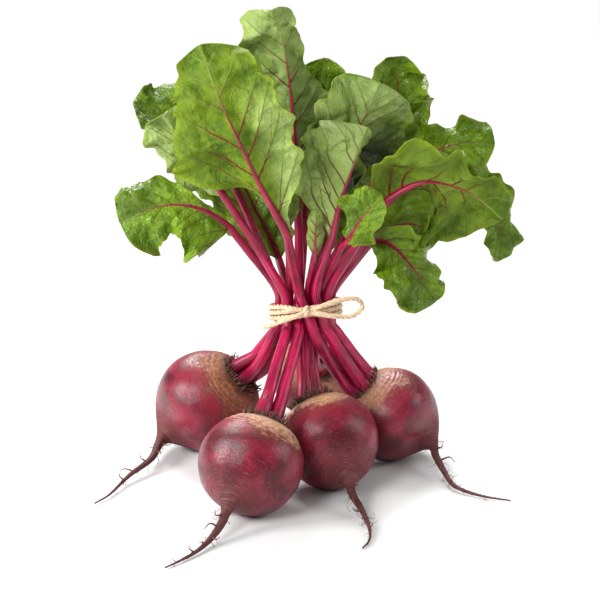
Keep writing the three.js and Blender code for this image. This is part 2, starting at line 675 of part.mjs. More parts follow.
// A plain hole round the first stretch of a stem, which starts a little above the hole's floor
function socket(leaf, line) {
  const wide = (STEM_RADIUS.crown * leaf.stem + SOCKET_GAP) / Math.cos(Math.PI / SOCKET_SIDES);
  return roundTube(line.path, () => wide, SOCKET_SIDES, 1, 0, stemStations(line)[1]);
}

// Thin side roots that stand out from the taproot, clear of the ground
function rootlets(path, from, radiusAt) {
  return spread(0.02, 0.62, ROOTLETS - 1).map((share, i) => {
    const s = from + share * (path.total - from);
    const direction = directionAt(path, s);
    const level = unit(cross([0, 0, 1], direction));
    const above = cross(direction, level);
    const angle = radians(15 + 150 * random());
    const out = add(scale(level, Math.cos(angle)), scale(above, Math.sin(angle)));
    const reach = (6 + 7 * random()) * (1 - 0.5 * share);
    const foot = add(pointAt(path, s), scale(out, radiusAt(share) * 0.5));
    const middle = add(foot, add(scale(out, reach * 0.6), scale(direction, reach * 0.35)));
    const tip = add(middle, add(scale(out, reach * 0.15), scale(direction, reach * (i % 2 ? 0.6 : -0.3))));
    const line = smoothLine([foot, middle, tip]);
    return roundTube(line, (k) => 0.75 - 0.4 * k, 4, 3);
  });
}

function boxSolid(low, high) {
  const size = sub(high, low);
  const box = new THREE.BoxGeometry(...size).translate(...mix(low, high, 0.5));
  box.deleteAttribute("normal");
  box.deleteAttribute("uv");
  const merged = mergeVertices(box, 1e-4);
  return new wasm.Manifold(
    new wasm.Mesh({
      numProp: 3,
      vertProperties: merged.attributes.position.array,
      triVerts: new Uint32Array(merged.index.array),
    }),
  );
}

const largest = (solid) => solid.decompose().reduce((a, b) => (b.volume() > a.volume() ? b : a));

// A point by the tie given as millimetres to the right, forward and up from its middle
function byTie([right, forward, up]) {
  const height = up + TWINE_RISE * right;
  return inTie(Math.hypot(right, forward), Math.atan2(-forward, right), height);
}

// The twine: turns round the stems, a knot in front, a loop to the right and an end to the left
function twineSolid() {
  const round = BUNDLE_RADIUS + TWINE_CLEAR + TWINE_RADIUS;
  const turnPoints = spread(0, TWINE_TURNS, TWINE_TURNS * 16).map((turn) => {
    const fromEnd = Math.min(turn, TWINE_TURNS - turn);
    const over = Math.max(0, 1 - fromEnd / 0.16) ** 2;
    const angle = radians(KNOT_ANGLE) + 2 * Math.PI * turn;
    const radius = round + over * 2.2 * TWINE_RADIUS;
    const height = (turn - TWINE_TURNS / 2) * TWINE_PITCH * (1 - over);
    return inTie(radius, angle, height + TWINE_RISE * radius * Math.cos(angle));
  });
  const cord = (points, steps, radius = TWINE_RADIUS) =>
    roundTube(smoothLine(points), () => radius, TWINE_SIDES, steps);
  const knotTurn = spread(0, 1, 7).map((share) => {
    const angle = radians(320 * share - 70);
    const [right, forward, up] = KNOT;
    return byTie([right + 1.5 * share - 0.7, forward + 2.6 * Math.cos(angle), up + 2.6 * Math.sin(angle)]);
  });
  const turns = cord(turnPoints, TWINE_TURNS * 14);
  const parts = [cord(knotTurn, 6), cord(LOOP.map(byTie), 13), cord(LOOSE_END.map(byTie), 5)];
  return largest(parts.reduce((solid, part) => solid.add(part), turns));
}

const COLOURS = {
  root: { color: 0x6b1f35, roughness: 0.55 },
  stem: { color: 0xb01648, roughness: 0.4 },
  blade: { color: 0x4f8a26, roughness: 0.5 },
  twine: { color: 0xc9a675, roughness: 0.9 },
};
const material = (kind) => new THREE.MeshStandardMaterial({ metalness: 0, ...COLOURS[kind] });

function named(name, kind, solid) {
  const mesh = new THREE.Mesh(geometryOf(solid), material(kind));
  mesh.name = name;
  return mesh;
}

const bunch = new THREE.Group();
for (const name of Object.keys(ROOTS)) bunch.add(named(`root_${name}`, "root", rootSolid(name)));
for (const name of leafNames) {
  bunch.add(named(`stem_${name}`, "stem", stemSolid(name)));
  bunch.add(named(`blade_${name}`, "blade", bladeSolid(name)));
}
bunch.add(named("twine", "twine", twineSolid()));

// The origin is on the ground, under the middle of the whole bunch
const box = new THREE.Box3().setFromObject(bunch, true);
bunch.position.set(-(box.min.x + box.max.x) / 2, -(box.min.y + box.max.y) / 2, -box.min.z);

export default bunch;
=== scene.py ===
# A bunch of five beetroots with their leaves on, tied round the stems with twine.
# Sizes and places are in millimetres, and become metres when a piece is made.
import math
from itertools import product

import bpy
import numpy as np
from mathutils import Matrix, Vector


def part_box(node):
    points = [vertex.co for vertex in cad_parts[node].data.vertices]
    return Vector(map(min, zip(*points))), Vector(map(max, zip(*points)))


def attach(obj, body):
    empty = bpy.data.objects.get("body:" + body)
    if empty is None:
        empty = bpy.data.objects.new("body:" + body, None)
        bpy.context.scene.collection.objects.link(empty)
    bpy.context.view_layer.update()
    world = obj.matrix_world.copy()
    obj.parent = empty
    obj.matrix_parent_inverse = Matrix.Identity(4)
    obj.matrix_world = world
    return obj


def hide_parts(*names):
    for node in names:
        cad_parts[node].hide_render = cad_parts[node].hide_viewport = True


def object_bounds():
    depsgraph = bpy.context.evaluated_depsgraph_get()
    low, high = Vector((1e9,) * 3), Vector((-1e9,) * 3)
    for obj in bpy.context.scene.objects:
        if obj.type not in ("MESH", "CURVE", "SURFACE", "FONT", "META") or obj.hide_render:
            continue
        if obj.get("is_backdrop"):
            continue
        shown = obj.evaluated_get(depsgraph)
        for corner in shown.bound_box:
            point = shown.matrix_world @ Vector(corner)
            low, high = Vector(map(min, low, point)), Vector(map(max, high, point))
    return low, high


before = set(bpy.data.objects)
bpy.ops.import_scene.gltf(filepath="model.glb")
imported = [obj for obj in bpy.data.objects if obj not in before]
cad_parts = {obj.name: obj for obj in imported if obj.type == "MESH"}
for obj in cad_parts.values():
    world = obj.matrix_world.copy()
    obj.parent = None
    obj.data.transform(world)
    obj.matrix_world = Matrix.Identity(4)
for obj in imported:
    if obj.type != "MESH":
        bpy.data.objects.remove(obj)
cad_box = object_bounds()

MM = 0.001

# The tie, which the stems pass through
TIE_CENTRE = np.array([2.5, -3, 106])
TIE_LEAN = math.radians(12)
TIE_HALF_BAND = 10
TIE_SLANT = 0.8
TIE_SHARE = 0.45
RING_RADIUS = {"outer": 17, "inner": 8.6, "gap": 12, "centre": 0}
STEM_RADIUS = {"crown": 4.3, "tie": 3.25, "leaf_base": 2.5, "end": 0.7}
STEM_GAP = 0.8
BUNDLE_RADIUS = RING_RADIUS["outer"] + STEM_RADIUS["tie"]

# Leaf blades
BLADE_THICKNESS = 0.8
FINE_BLADE_THICKNESS = 0.45
MIDRIB_GAP = 0.8
MIDRIB_END = 0.86
MIDRIB_SEAT = 0.84
MIDRIB_TAPER = 1.15
FINE_MIDRIB_TAPER = 1.5
FINE_MIDRIB_END = 0.3

# Roots
FLAT_DEPTH = 0.9
SOCKET_DEPTH = 3
SOCKET_GAP = 0.3
STEM_START = 0.6
STEM_SPREAD = 1.06
STEM_STRAIGHT = 6
TAPROOT_TIP = 0.7

# Each root: how dry the cork on its crown is, its bulb's centre in plan and radius, the directions of its crown
# and of its tail from there, and the points that the taproot follows along the ground
ROOTS = {
    "left": {
        "dry": 0.1, "plan": (-64, 16.2), "radius": 34.8, "crown": (0.74, -0.12, 0.66), "tail": (-0.78, -0.22, -0.58),
        "taproot": [(-99, -20, 8), (-111, -40, 5), (-122, -66, 2.2), (-129.5, -76.5, 1.3)],
    },
    "front_left": {
        "dry": 1.0, "plan": (-31.9, -85.6), "radius": 32.2,
        "crown": (0.31, 0.58, 0.755), "tail": (-0.35, -0.84, -0.41),
        "taproot": [
            (-47.7, -123, 9.5), (-53, -133, 4.8), (-61, -147, 2.4), (-70.7, -159, 1.6), (-78.5, -167, 1.2),
        ],
    },
    "front_right": {
        "dry": 0.95, "plan": (17.8, -44), "radius": 31.3, "crown": (-0.4, 0.52, 0.755), "tail": (0.36, -0.8, -0.48),
        "taproot": [(31.5, -82, 10), (37, -95, 5), (41, -118, 2.4), (40, -132, 1.6), (36, -141, 1.2)],
    },
    "right": {
        "dry": 0.5, "plan": (60, 3), "radius": 31.2, "crown": (-0.7, 0, 0.71), "tail": (0.81, -0.29, -0.5),
        "taproot": [(88, -20, 10.5), (92, -34, 6), (98, -53, 2.8), (113, -65, 1.6), (131.5, -72, 1.2)],
    },
    "back": {
        "dry": 0.5, "plan": (9.7, 84.5), "radius": 31.3, "crown": (0.08, -0.8, 0.6), "tail": (0, 0.85, -0.52),
        "taproot": [(10, 124, 8), (16, 138, 4), (30, 150, 2), (50, 154, 1.2)],
    },
}

# Width of a root at distances from its crown, both as shares of the bulb's radius
BULB_PROFILE = [
    (0, 0.34), (0.03, 0.43), (0.11, 0.58), (0.25, 0.75), (0.47, 0.91), (0.78, 1),
    (1.1, 0.99), (1.4, 0.88), (1.64, 0.68), (1.82, 0.43), (1.92, 0.26), (2.04, 0.155), (2.2, 0.12),
]
CROWN_HEIGHT = 0.93
NECK_HEIGHT = 1.02
ROOTLETS = 5

# Half the width of a blade at shares of its length, as a share of its widest
OUTLINES = {
    "ovate": [
        (0, 0.06), (0.1, 0.36), (0.25, 0.82), (0.42, 1), (0.65, 0.97), (0.85, 0.8), (0.95, 0.6), (1, 0.4),
    ],
    "square_base": [
        (0, 0.05), (0.24, 0.1), (0.33, 0.4), (0.41, 0.97), (0.5, 1),
        (0.62, 0.87), (0.74, 0.7), (0.92, 0.48), (1, 0.36),
    ],
    "broad_top": [
        (0, 0.06), (0.11, 0.22), (0.2, 0.5), (0.3, 0.78), (0.45, 0.88),
        (0.7, 1), (0.83, 0.93), (0.93, 0.66), (1, 0.3),
    ],
    "even": [
        (0, 0.06), (0.11, 0.26), (0.2, 0.56), (0.3, 0.9), (0.4, 1),
        (0.7, 0.97), (0.84, 0.82), (0.94, 0.62), (1, 0.4),
    ],
    "blunt": [(0, 0.06), (0.12, 0.5), (0.3, 0.92), (0.55, 1), (0.8, 1), (0.93, 0.84), (1, 0.6)],
    "shoulder": [
        (0, 0.08), (0.1, 0.6), (0.22, 1), (0.38, 0.88), (0.5, 0.52),
        (0.65, 0.52), (0.8, 0.6), (0.93, 0.5), (1, 0.3),
    ],
    "wing": [
        (0, 0.08), (0.1, 0.5), (0.25, 0.95), (0.42, 1), (0.52, 0.8),
        (0.62, 0.45), (0.8, 0.42), (0.93, 0.4), (1, 0.3),
    ],
    "two_lobes": [
        (0, 0.2), (0.05, 0.62), (0.13, 0.86), (0.24, 0.98), (0.35, 0.86), (0.45, 0.6), (0.54, 0.48),
        (0.64, 0.58), (0.78, 0.76), (0.92, 0.72), (1, 0.45),
    ],
    "heavy_tip": [
        (0, 0.08), (0.2, 0.22), (0.4, 0.4), (0.5, 0.8), (0.6, 1), (0.78, 1), (0.92, 0.8), (1, 0.5),
    ],
}


def leaf(
    root, slot, stem, midrib, faces, half, outline, fold, curl, wave, waves, phase, warm,
    fine=1.0, crumpled=1.0, shaded=0.0, pale=0.0,
):
    """A leaf: the root it grows from, its place in the tie as (ring, degrees), its stem's thickness as a share
    of a usual one, the points of its midrib, the direction its upper side faces, the half widths and outlines
    of its two sides, the fold along the midrib and the curl of its margins in degrees, the height, number and
    phase of its waves, how yellow its green is, how fine its mesh is, how crumpled the blade is, how much
    painted shade darkens one half of it, and how much painted sheen makes one half of it paler."""
    return dict(locals())


# Some blades get painted shade on one half, darker where it sits in shadow; front_tall gets painted sheen on one
# half, paler where light glints on it
LEAVES = {
    "front_tall": leaf(
        "right", ("outer", 255), 1.15,
        [(-9, -38, 164), (-24, -46, 195), (-38, -52, 227), (-51, -50, 256), (-61, -42, 283)],
        (0.1, 0.95, 0.2), (34, 47), ("broad_top", "square_base"), 8, -12, 3.5, 4.5, 0.4, warm=0.95, fine=1.2,
        crumpled=0.6, pale=1.0,
    ),
    "top_centre": leaf(
        "front_left", ("inner", 240), 1,
        [(-3, 5, 190), (-5, 10, 226), (-8, 12, 254), (-12, 12, 278), (-18, 6, 298)],
        (-0.1, 0.95, 0), (27, 26), ("wing", "blunt"), 12, 10, 4, 5, 1.3, warm=0.3, fine=1.15,
    ),
    "top_back": leaf(
        "left", ("inner", 120), 0.9, [(2, 18, 160), (6, 26, 200), (11, 30, 240), (16, 30, 264)],
        (0.1, -0.9, 0.3), (23, 23), ("ovate", "ovate"), 10, 10, 4, 4, 2.1, warm=0.2, fine=0.85,
    ),
    "left_back": leaf(
        "left", ("outer", 165), 1, [(-41, 19, 177), (-62, 26, 206), (-85, 27, 225), (-108, 20, 236)],
        (0.5, -0.6, 0.6), (24, 24), ("ovate", "ovate"), 8, 15, 4, 4, 0.9, warm=0.25,
    ),
    "left_low": leaf(
        "left", ("outer", 195), 1,
        [(-46, -12, 163), (-62, -16, 175), (-79, -18, 179), (-97, -20, 176), (-114, -20, 167)],
        (-0.1, -0.75, 0.6), (35, 18), ("two_lobes", "heavy_tip"), 5, -12, 4.5, 4, 2.7, warm=0.3, fine=1.1,
    ),
    "left_mid": leaf(
        "front_left", ("outer", 225), 1, [(-49, -14, 184), (-62, -12, 201), (-74, -12, 218), (-86, -15, 236)],
        (0.2, 0.9, 0.4), (20, 28), ("ovate", "blunt"), 10, 0, 4, 4, 1.9, warm=0.25,
    ),
    "right_folded": leaf(
        "right", ("outer", 285), 1.05,
        [(19, -30, 160), (24, -34, 184), (30, -34, 202), (35, -31, 216), (41, -27, 230)],
        (-0.4, 0.9, 0.05), (14, 34), ("even", "even"), 48, 0, 3, 4, 0.2, warm=0.3, fine=1.1, shaded=0.85,
    ),
    "centre_back": leaf(
        "front_right", ("centre", 0), 1, [(18, -6, 182), (28, -14, 210), (39, -14, 234), (49, -13, 255)],
        (-0.1, 0.95, 0.1), (33, 27), ("blunt", "blunt"), 24, 0, 3.5, 4, 2.4, warm=0.25, shaded=0.9,
    ),
    "top_right": leaf(
        "back", ("inner", 60), 0.9,
        [(58, 24, 205), (64, 27, 222), (62, 28, 240), (62, 27, 254), (66, 24, 266)],
        (0.2, -0.8, 0.5), (22, 21), ("ovate", "ovate"), 8, 10, 4, 3, 0.1, warm=0.3,
    ),
    "right_high": leaf(
        "back", ("inner", 0), 1, [(57, 12, 188), (79, 7, 205), (101, 2, 214), (122, -2, 214)],
        (-0.1, -0.75, 0.65), (28, 20), ("shoulder", "blunt"), 10, 10, 4, 4, 1.1, warm=0.15,
    ),
    "right_front": leaf(
        "right", ("outer", 315), 1.1,
        [
            (50, -32, 181), (61, -38, 192), (75, -42, 199), (91, -42, 197), (107, -38, 189), (125, -32, 173),
        ],
        (0.1, 0.7, 0.7), (51, 30), ("heavy_tip", "shoulder"), 5, -20, 3.5, 4.5, 2.9, warm=0.9, fine=1.2,
        crumpled=0.85,
    ),
    "far_right": leaf(
        "back", ("outer", 45), 1, [(84, 24, 187), (108, 24, 181), (126, 20, 166), (128, 14, 133)],
        (0.4, -0.6, 0.7), (14, 17), ("ovate", "ovate"), 8, 0, 3.5, 4, 0.6, warm=0.35,
    ),
    "lower_right": leaf(
        "right", ("outer", 345), 1, [(43, -16, 154), (55, -20, 154), (68, -23, 142), (86, -24, 118)],
        (0.4, -0.65, 0.65), (15, 25), ("ovate", "ovate"), 5, 0, 3.5, 4, 1.5, warm=0.45,
    ),
    "right_mid": leaf(
        "right", ("outer", 15), 0.9, [(48, -2, 154), (60, -3, 161), (73, -3, 162), (86, -4, 150)],
        (0, -0.7, 0.7), (20, 18), ("ovate", "ovate"), 8, 0, 3, 3, 2.2, warm=0.4,
    ),
    "small_centre": leaf(
        "front_right", ("gap", 270), 0.6, [(8, -31, 147), (8.5, -34, 163), (9, -32, 180)],
        (0, 0.95, 0), (6, 6), ("ovate", "ovate"), 30, 0, 1, 2, 0, warm=0.5, fine=0.6,
    ),
    "small_left": leaf(
        "front_left", ("inner", 180), 0.8, [(-9, -20, 162), (-10, -18, 179), (-9, -16, 196)],
        (0, 0.95, 0), (8, 8), ("ovate", "ovate"), 20, 0, 1.5, 2, 1, warm=0.5, fine=0.6,
    ),
    "centre_right": leaf(
        "front_right", ("inner", 300), 0.8, [(29, -42, 162), (35, -46, 174), (42, -49, 184), (49, -49, 193)],
        (-0.2, -0.8, 0.5), (15, 19), ("ovate", "ovate"), 8, 0, 3, 3, 0.5, warm=0.4,
    ),
    "back_left": leaf(
        "left", ("outer", 135), 1, [(-15, 27, 131), (-34, 41, 168), (-48, 55, 200), (-56, 62, 228)],
        (0.3, -0.85, 0.3), (30, 30), ("blunt", "blunt"), 8, -10, 4, 4, 2.0, warm=0.3, fine=0.8,
    ),
    "back_right": leaf(
        "back", ("outer", 75), 1, [(12, 33, 131), (19, 46, 166), (26, 56, 200), (31, 60, 228)],
        (0, -0.9, 0.35), (26, 28), ("blunt", "blunt"), 8, -10, 4, 4, 2.6, warm=0.3, fine=0.8,
    ),
}

# Twine: its turns, how much it rises to the right, and the free loop and end as (right, forward, up)
TWINE_RADIUS = 1.7
TWINE_PITCH = 3.6
TWINE_TURNS = 3
TWINE_RISE = 0.13
TWINE_CLEAR = 0.9
KNOT_ANGLE = -88
KNOT = (1, 27, 0.5)
LOOP = [
    (-1, 27, 0), (9, 28.5, 2.5), (22, 29, 5.5), (33, 27, 4), (36, 25, -1.5),
    (30, 26, -6), (18, 29, -4.5), (8, 29, -1.5), (-1, 27, 1),
]
LOOSE_END = [(2, 28, 0.5), (-4, 28.5, -1), (-14, 25, -3.5), (-21, 20, -5.5), (-27, 13, -7)]
STRANDS = 3
STRAND_LAY = 10.5
STRAND_SPREAD = 1.12
STRAND_SIDES = 9
FIBRES_EACH_MM = 1.1

# How finely the pieces are made
BLADE_ROWS = 104
BLADE_COLUMNS = 56
STALK_SIDES = 20
STALK_RINGS = 84
MIDRIB_RINGS = 52
ROOT_SIDES = 88


# Vectors, as arrays with x, y and z last
def unit(v):
    return v / np.linalg.norm(v, axis=-1, keepdims=True)


def dot(a, b):
    return np.sum(a * b, axis=-1, keepdims=True)


def square_to(v, direction):
    return unit(v - direction * dot(v, direction))


def smooth_step(low, high, x):
    k = np.clip((x - low) / (high - low), 0, 1)
    return k * k * (3 - 2 * k)


def smooth_through(points, x):
    """The height at x of a smooth curve through points"""
    xs, ys = np.array(points, float).T
    last = len(xs) - 1
    before = np.maximum(np.arange(last + 1) - 1, 0)
    after = np.minimum(np.arange(last + 1) + 1, last)
    slope = (ys[after] - ys[before]) / (xs[after] - xs[before])
    i = np.clip(np.searchsorted(xs, x, side="left") - 1, 0, last - 1)
    step = xs[i + 1] - xs[i]
    k = np.clip((x - xs[i]) / step, 0, 1)
    bends = step * (slope[i] * k * (1 - k) ** 2 - slope[i + 1] * k * k * (1 - k))
    return ys[i] + (ys[i + 1] - ys[i]) * k * k * (3 - 2 * k) + bends


class Path:
    """A smooth line through points, as many short straight steps with the length run so far at each"""

    def __init__(self, points, steps_each=10):
        p = np.array(points, float)
        p = np.vstack([2 * p[0] - p[1], p, 2 * p[-1] - p[-2]])
        p0, p1, p2, p3 = p[:-3], p[1:-2], p[2:-1], p[3:]
        d0, d1, d2 = (np.sqrt(np.linalg.norm(gap, axis=1))[:, None] for gap in (p1 - p0, p2 - p1, p3 - p2))
        t1 = ((p1 - p0) / d0 - (p2 - p0) / (d0 + d1) + (p2 - p1) / d1) * d1
        t2 = ((p2 - p1) / d1 - (p3 - p1) / (d1 + d2) + (p3 - p2) / d2) * d1
        w = (np.arange(steps_each) / steps_each)[:, None, None]
        steps = p1 + t1 * w + (3 * (p2 - p1) - 2 * t1 - t2) * w**2 + (2 * (p1 - p2) + t1 + t2) * w**3
        self.line = np.vstack([steps.transpose(1, 0, 2).reshape(-1, 3), p[-2]])
        self.run = np.concatenate([[0], np.cumsum(np.linalg.norm(np.diff(self.line, axis=0), axis=1))])
        self.total = self.run[-1]

    def at(self, s):
        return np.stack([np.interp(s, self.run, self.line[:, k]) for k in range(3)], -1)

    def direction(self, s, reach=1.5):
        s = np.asarray(s, float)
        return unit(self.at(np.minimum(s + reach, self.total)) - self.at(np.maximum(s - reach, 0)))


def carried(side, directions):
    """A sideways direction carried along a line without twist"""
    sides = []
    for direction in directions:
        side = square_to(side, direction)
        sides.append(side)
    return np.array(sides)


def lattice(cell, seed):
    """A repeatable number from -1 to 1 for each cell of whole numbers"""
    n = seed * 1274126177
    for k, factor in enumerate((374761393, 668265263, 1103515245)[: cell.shape[-1]]):
        n = n + cell[..., k] * factor
    n = (n ^ (n >> 13)) * 1274126177
    n = n ^ (n >> 16)
    return (n & 0xFFFF) / 32767.5 - 1


def noise(points, size, seed):
    """Smooth noise from about -1 to 1, with lumps of a size"""
    q = points / size
    base = np.floor(q).astype(np.int64)
    w = q - base
    w = w * w * (3 - 2 * w)
    total = 0
    for corner in product((0, 1), repeat=points.shape[-1]):
        total = total + np.prod(np.where(corner, w, 1 - w), axis=-1) * lattice(base + corner, seed)
    return total


def lumps(points, layers):
    """The sum of several layers of noise, each with its height, size and seed"""
    return sum(height * noise(points, size, seed) for height, size, seed in layers)


def grid_of(*coordinates):
    """Points of a grid from coordinates that are given by row, by column or for the whole grid"""
    return np.stack(np.broadcast_arrays(*coordinates), -1)


def unrolled(radius, angle, along, offset):
    """Where a piece's points would be on a straight rod of its own, for the pattern of its material"""
    return grid_of(radius * np.cos(angle), radius * np.sin(angle), along).reshape(-1, 3) + offset


# The frame of the tie: its own axis leans back, away from the front
TIE_AXIS = np.array([0, math.sin(TIE_LEAN), math.cos(TIE_LEAN)])
TIE_BACK = np.array([0, math.cos(TIE_LEAN), -math.sin(TIE_LEAN)])
TIE_RIGHT = np.array([1.0, 0, 0])


def in_tie(radius, angle, height):
    radius, angle, height = (np.asarray(v, float)[..., None] for v in (radius, angle, height))
    across = TIE_RIGHT * radius * np.cos(angle) + TIE_BACK * radius * np.sin(angle)
    return TIE_CENTRE + across + TIE_AXIS * height


def slot_point(slot, height):
    ring, degrees = slot
    return in_tie(RING_RADIUS[ring], math.radians(degrees), height)


def bulb_of(root):
    """Where a root's bulb, crown and neck are"""
    axis = unit(np.array(root["crown"], float))
    centre = np.array([*root["plan"], root["radius"] - FLAT_DEPTH])
    crown = centre + axis * CROWN_HEIGHT * root["radius"]
    neck = centre + unit(np.array(root["tail"], float)) * NECK_HEIGHT * root["radius"]
    return axis, centre, crown, neck


def leaves_of(root_name):
    return [name for name in LEAVES if LEAVES[name]["root"] == root_name]


def crown_places(root_name):
    """The first point of each stem of a root: in a ring on its crown, in the order in which they pass the tie"""
    axis, _, crown, _ = bulb_of(ROOTS[root_name])
    own = leaves_of(root_name)
    slots = np.array([slot_point(LEAVES[name]["slot"], 0) for name in own])
    away = slots - slots.mean(axis=0)
    u = square_to(np.array([1, 0, 0.01]), axis)
    v = np.cross(axis, u)
    angles = np.arctan2(away @ v, away @ u)
    order = np.argsort(angles, kind="stable")
    ring = (STEM_RADIUS["crown"] * STEM_SPREAD + SOCKET_GAP) / math.sin(math.pi / len(own))
    places = {}
    for rank, i in enumerate(order):
        angle = angles[order[0]] + 2 * math.pi * rank / len(own)
        out = ring * (u * math.cos(angle) + v * math.sin(angle))
        places[own[i]] = {"foot": crown - axis * SOCKET_DEPTH + out, "axis": axis, "out": out}
    return places


def stem_radius(one, share):
    """A stem's radius at a share of its length up to the blade: it narrows to the tie, and again above it"""
    known = [STEM_RADIUS["crown"], STEM_RADIUS["tie"], STEM_RADIUS["leaf_base"]]
    return one["stem"] * np.interp(share, [0, TIE_SHARE, 1], known)


# Stems as chains of points, pushed apart until none touches another
CHAIN = 20
ROUNDS = 160
NEAR = 22
PUSH = 0.22
EVEN_OUT = 0.12
OPEN_BELOW = 0.9
OPEN_ABOVE = (0.5, 0.012)


def start_chain(one, place):
    neck = place["foot"] + place["axis"] * STEM_STRAIGHT
    way = one["midrib"][0] - place["foot"]
    aslant = np.array([way[0], way[1], 0]) * TIE_SLANT * TIE_HALF_BAND / way[2]
    low = slot_point(one["slot"], -TIE_HALF_BAND) - aslant
    high = slot_point(one["slot"], TIE_HALF_BAND) + aslant
    path = Path([place["foot"], neck, low, high, one["midrib"][0], one["midrib"][1]])
    return path.at(path.run[40] * np.arange(CHAIN) / (CHAIN - 1))


def closest(p, q, r, s):
    """The closest points of segments p to q and r to s, as shares of each"""
    d1, d2, w = q - p, s - r, p - r
    a, e, b, c, f = (np.sum(x * y, axis=-1) for x, y in ((d1, d1), (d2, d2), (d1, d2), (d1, w), (d2, w)))
    m = np.clip((b * f - c * e) / (a * e - b * b + 1e-9), 0, 1)
    n = np.clip((b * m + f) / e, 0, 1)
    return np.clip((b * n - c) / a, 0, 1)[:, None], n[:, None]


def inside_tie(points, radius):
    """Holds points of a stem inside the twine while they are at the tie's height"""
    away = points - TIE_CENTRE
    height = dot(away, TIE_AXIS)
    out = away - TIE_AXIS * height
    far = np.linalg.norm(out, axis=-1, keepdims=True)
    past = np.maximum(0, np.abs(height) - TIE_HALF_BAND)
    opening = np.where(height < 0, OPEN_BELOW * past, OPEN_ABOVE[0] * past + OPEN_ABOVE[1] * past**2)
    most = BUNDLE_RADIUS - radius[..., None] + opening
    return np.where(far <= most, points, points - out * (far - most) / np.maximum(far, 1e-6))


def pushed_apart(chains, radii):
    count = len(chains)
    segment = np.arange(count * (CHAIN - 1))
    node = segment // (CHAIN - 1) * CHAIN + segment % (CHAIN - 1)
    a, b = np.triu_indices(len(segment), 1)
    other_stem = a // (CHAIN - 1) != b // (CHAIN - 1)
    a, b = node[a[other_stem]], node[b[other_stem]]
    radius = radii.reshape(-1)
    points = chains.reshape(-1, 3).copy()
    for _ in range(ROUNDS):
        near = np.abs(points[a, 2] - points[b, 2]) <= NEAR
        i, j = a[near], b[near]
        m, n = closest(points[i], points[i + 1], points[j], points[j + 1])
        gap = points[i] * (1 - m) + points[i + 1] * m - points[j] * (1 - n) - points[j + 1] * n
        far = np.maximum(np.linalg.norm(gap, axis=1, keepdims=True), 1e-6)
        wanted = (radius[i] + radius[j] + STEM_GAP)[:, None]
        push = np.where(far < wanted, gap * PUSH * (wanted - far) / far, 0)
        moves = np.zeros_like(points)
        ends = ((i, push * (1 - m)), (i + 1, push * m), (j, -push * (1 - n)), (j + 1, -push * n))
        for index, move in ends:
            np.add.at(moves, index, move)
        before = points.reshape(count, CHAIN, 3)
        even = (before[:, 1:-3] + before[:, 3:-1]) / 2 - before[:, 2:-2]
        moved = before[:, 2:-2] + moves.reshape(count, CHAIN, 3)[:, 2:-2] + even * EVEN_OUT
        after = before.copy()
        after[:, 2:-2] = inside_tie(moved, radii[:, 2:-2])
        last = before[:, -2] + moves.reshape(count, CHAIN, 3)[:, -2]
        last = last + ((before[:, -3] + before[:, -1]) / 2 - before[:, -2]) * EVEN_OUT
        after[:, -2] = inside_tie(last, radii[:, -2])
        points = after.reshape(-1, 3)
    return points.reshape(count, CHAIN, 3)


leaf_names = list(LEAVES)
places = {}
for root_name in ROOTS:
    places.update(crown_places(root_name))
chain_shares = np.arange(CHAIN) / (CHAIN - 1)
stem_radii = np.array([stem_radius(LEAVES[name], chain_shares) for name in leaf_names])
stem_starts = np.array([start_chain(LEAVES[name], places[name]) for name in leaf_names])
stem_chains = dict(zip(leaf_names, pushed_apart(stem_starts, stem_radii)))


class LeafLine:
    """The whole line of a leaf, from its foot in the crown to its tip, with where the blade begins"""

    def __init__(self, name, steps_each=10):
        self.leaf = LEAVES[name]
        self.path = Path([*stem_chains[name], *self.leaf["midrib"][1:]], steps_each)
        self.blade_from = self.path.run[(CHAIN - 1) * steps_each]
        self.blade = self.path.total - self.blade_from

    def frames(self, stations):
        """Centres, and directions out of the leaf's upper side and across it, carried without twist"""
        directions = self.path.direction(stations)
        start = int(np.argmax(stations >= self.blade_from - 1e-6))
        first = square_to(np.array(self.leaf["faces"], float), directions[start])
        below = carried(first, directions[:start][::-1])[::-1]
        ups = np.vstack([below.reshape(-1, 3), carried(first, directions[start:])])
        return self.path.at(stations), ups, unit(np.cross(directions, ups))


def midrib_radius(one, share):
    narrowing = np.maximum(0, 1 - share / MIDRIB_END) ** MIDRIB_TAPER
    return np.maximum(STEM_RADIUS["end"], STEM_RADIUS["leaf_base"] * one["stem"] * narrowing)


def fine_midrib_radius(one, share):
    """The midrib thins out faster than its CAD solid can"""
    narrowing = np.maximum(0, 1 - share / MIDRIB_END) ** FINE_MIDRIB_TAPER
    return np.maximum(FINE_MIDRIB_END, 0.95 * STEM_RADIUS["leaf_base"] * one["stem"] * narrowing)


def half_width(one, side, share):
    """Half the width of a blade on one side of its midrib"""
    outline = np.maximum(0.04, smooth_through(OUTLINES[one["outline"][side]], share))
    lobes = 1 + 0.05 * np.sin(2 * math.pi * one["waves"] * 1.3 * share + one["phase"] * 2 + side * 2)
    return np.maximum(1, one["half"][side] * outline * lobes)


def arc(tilt, bend, run):
    """How far across and up a line goes that starts at a tilt and bends evenly"""
    if abs(bend) < 1e-4:
        return run * np.cos(tilt), run * np.sin(tilt)
    end = tilt + bend * run
    return (np.sin(end) - np.sin(tilt)) / bend, (np.cos(tilt) - np.cos(end)) / bend


def blade_offsets(one, side, share, t, half):
    """How far across and up a blade's points are from its midrib, at shares along it and t from 0 to 1 across"""
    bend = math.radians(one["curl"]) / one["half"][side]
    tilt = math.radians(one["fold"]) * (1.15 - 0.45 * share)
    out, rise = arc(tilt, bend, t * half)
    full = np.minimum(1, half / (0.5 * one["half"][side]))
    turn = 2 * math.pi * one["waves"] * share + one["phase"] + side * 1.9
    return out, rise + one["wave"] * full * t**2.5 * np.sin(turn)


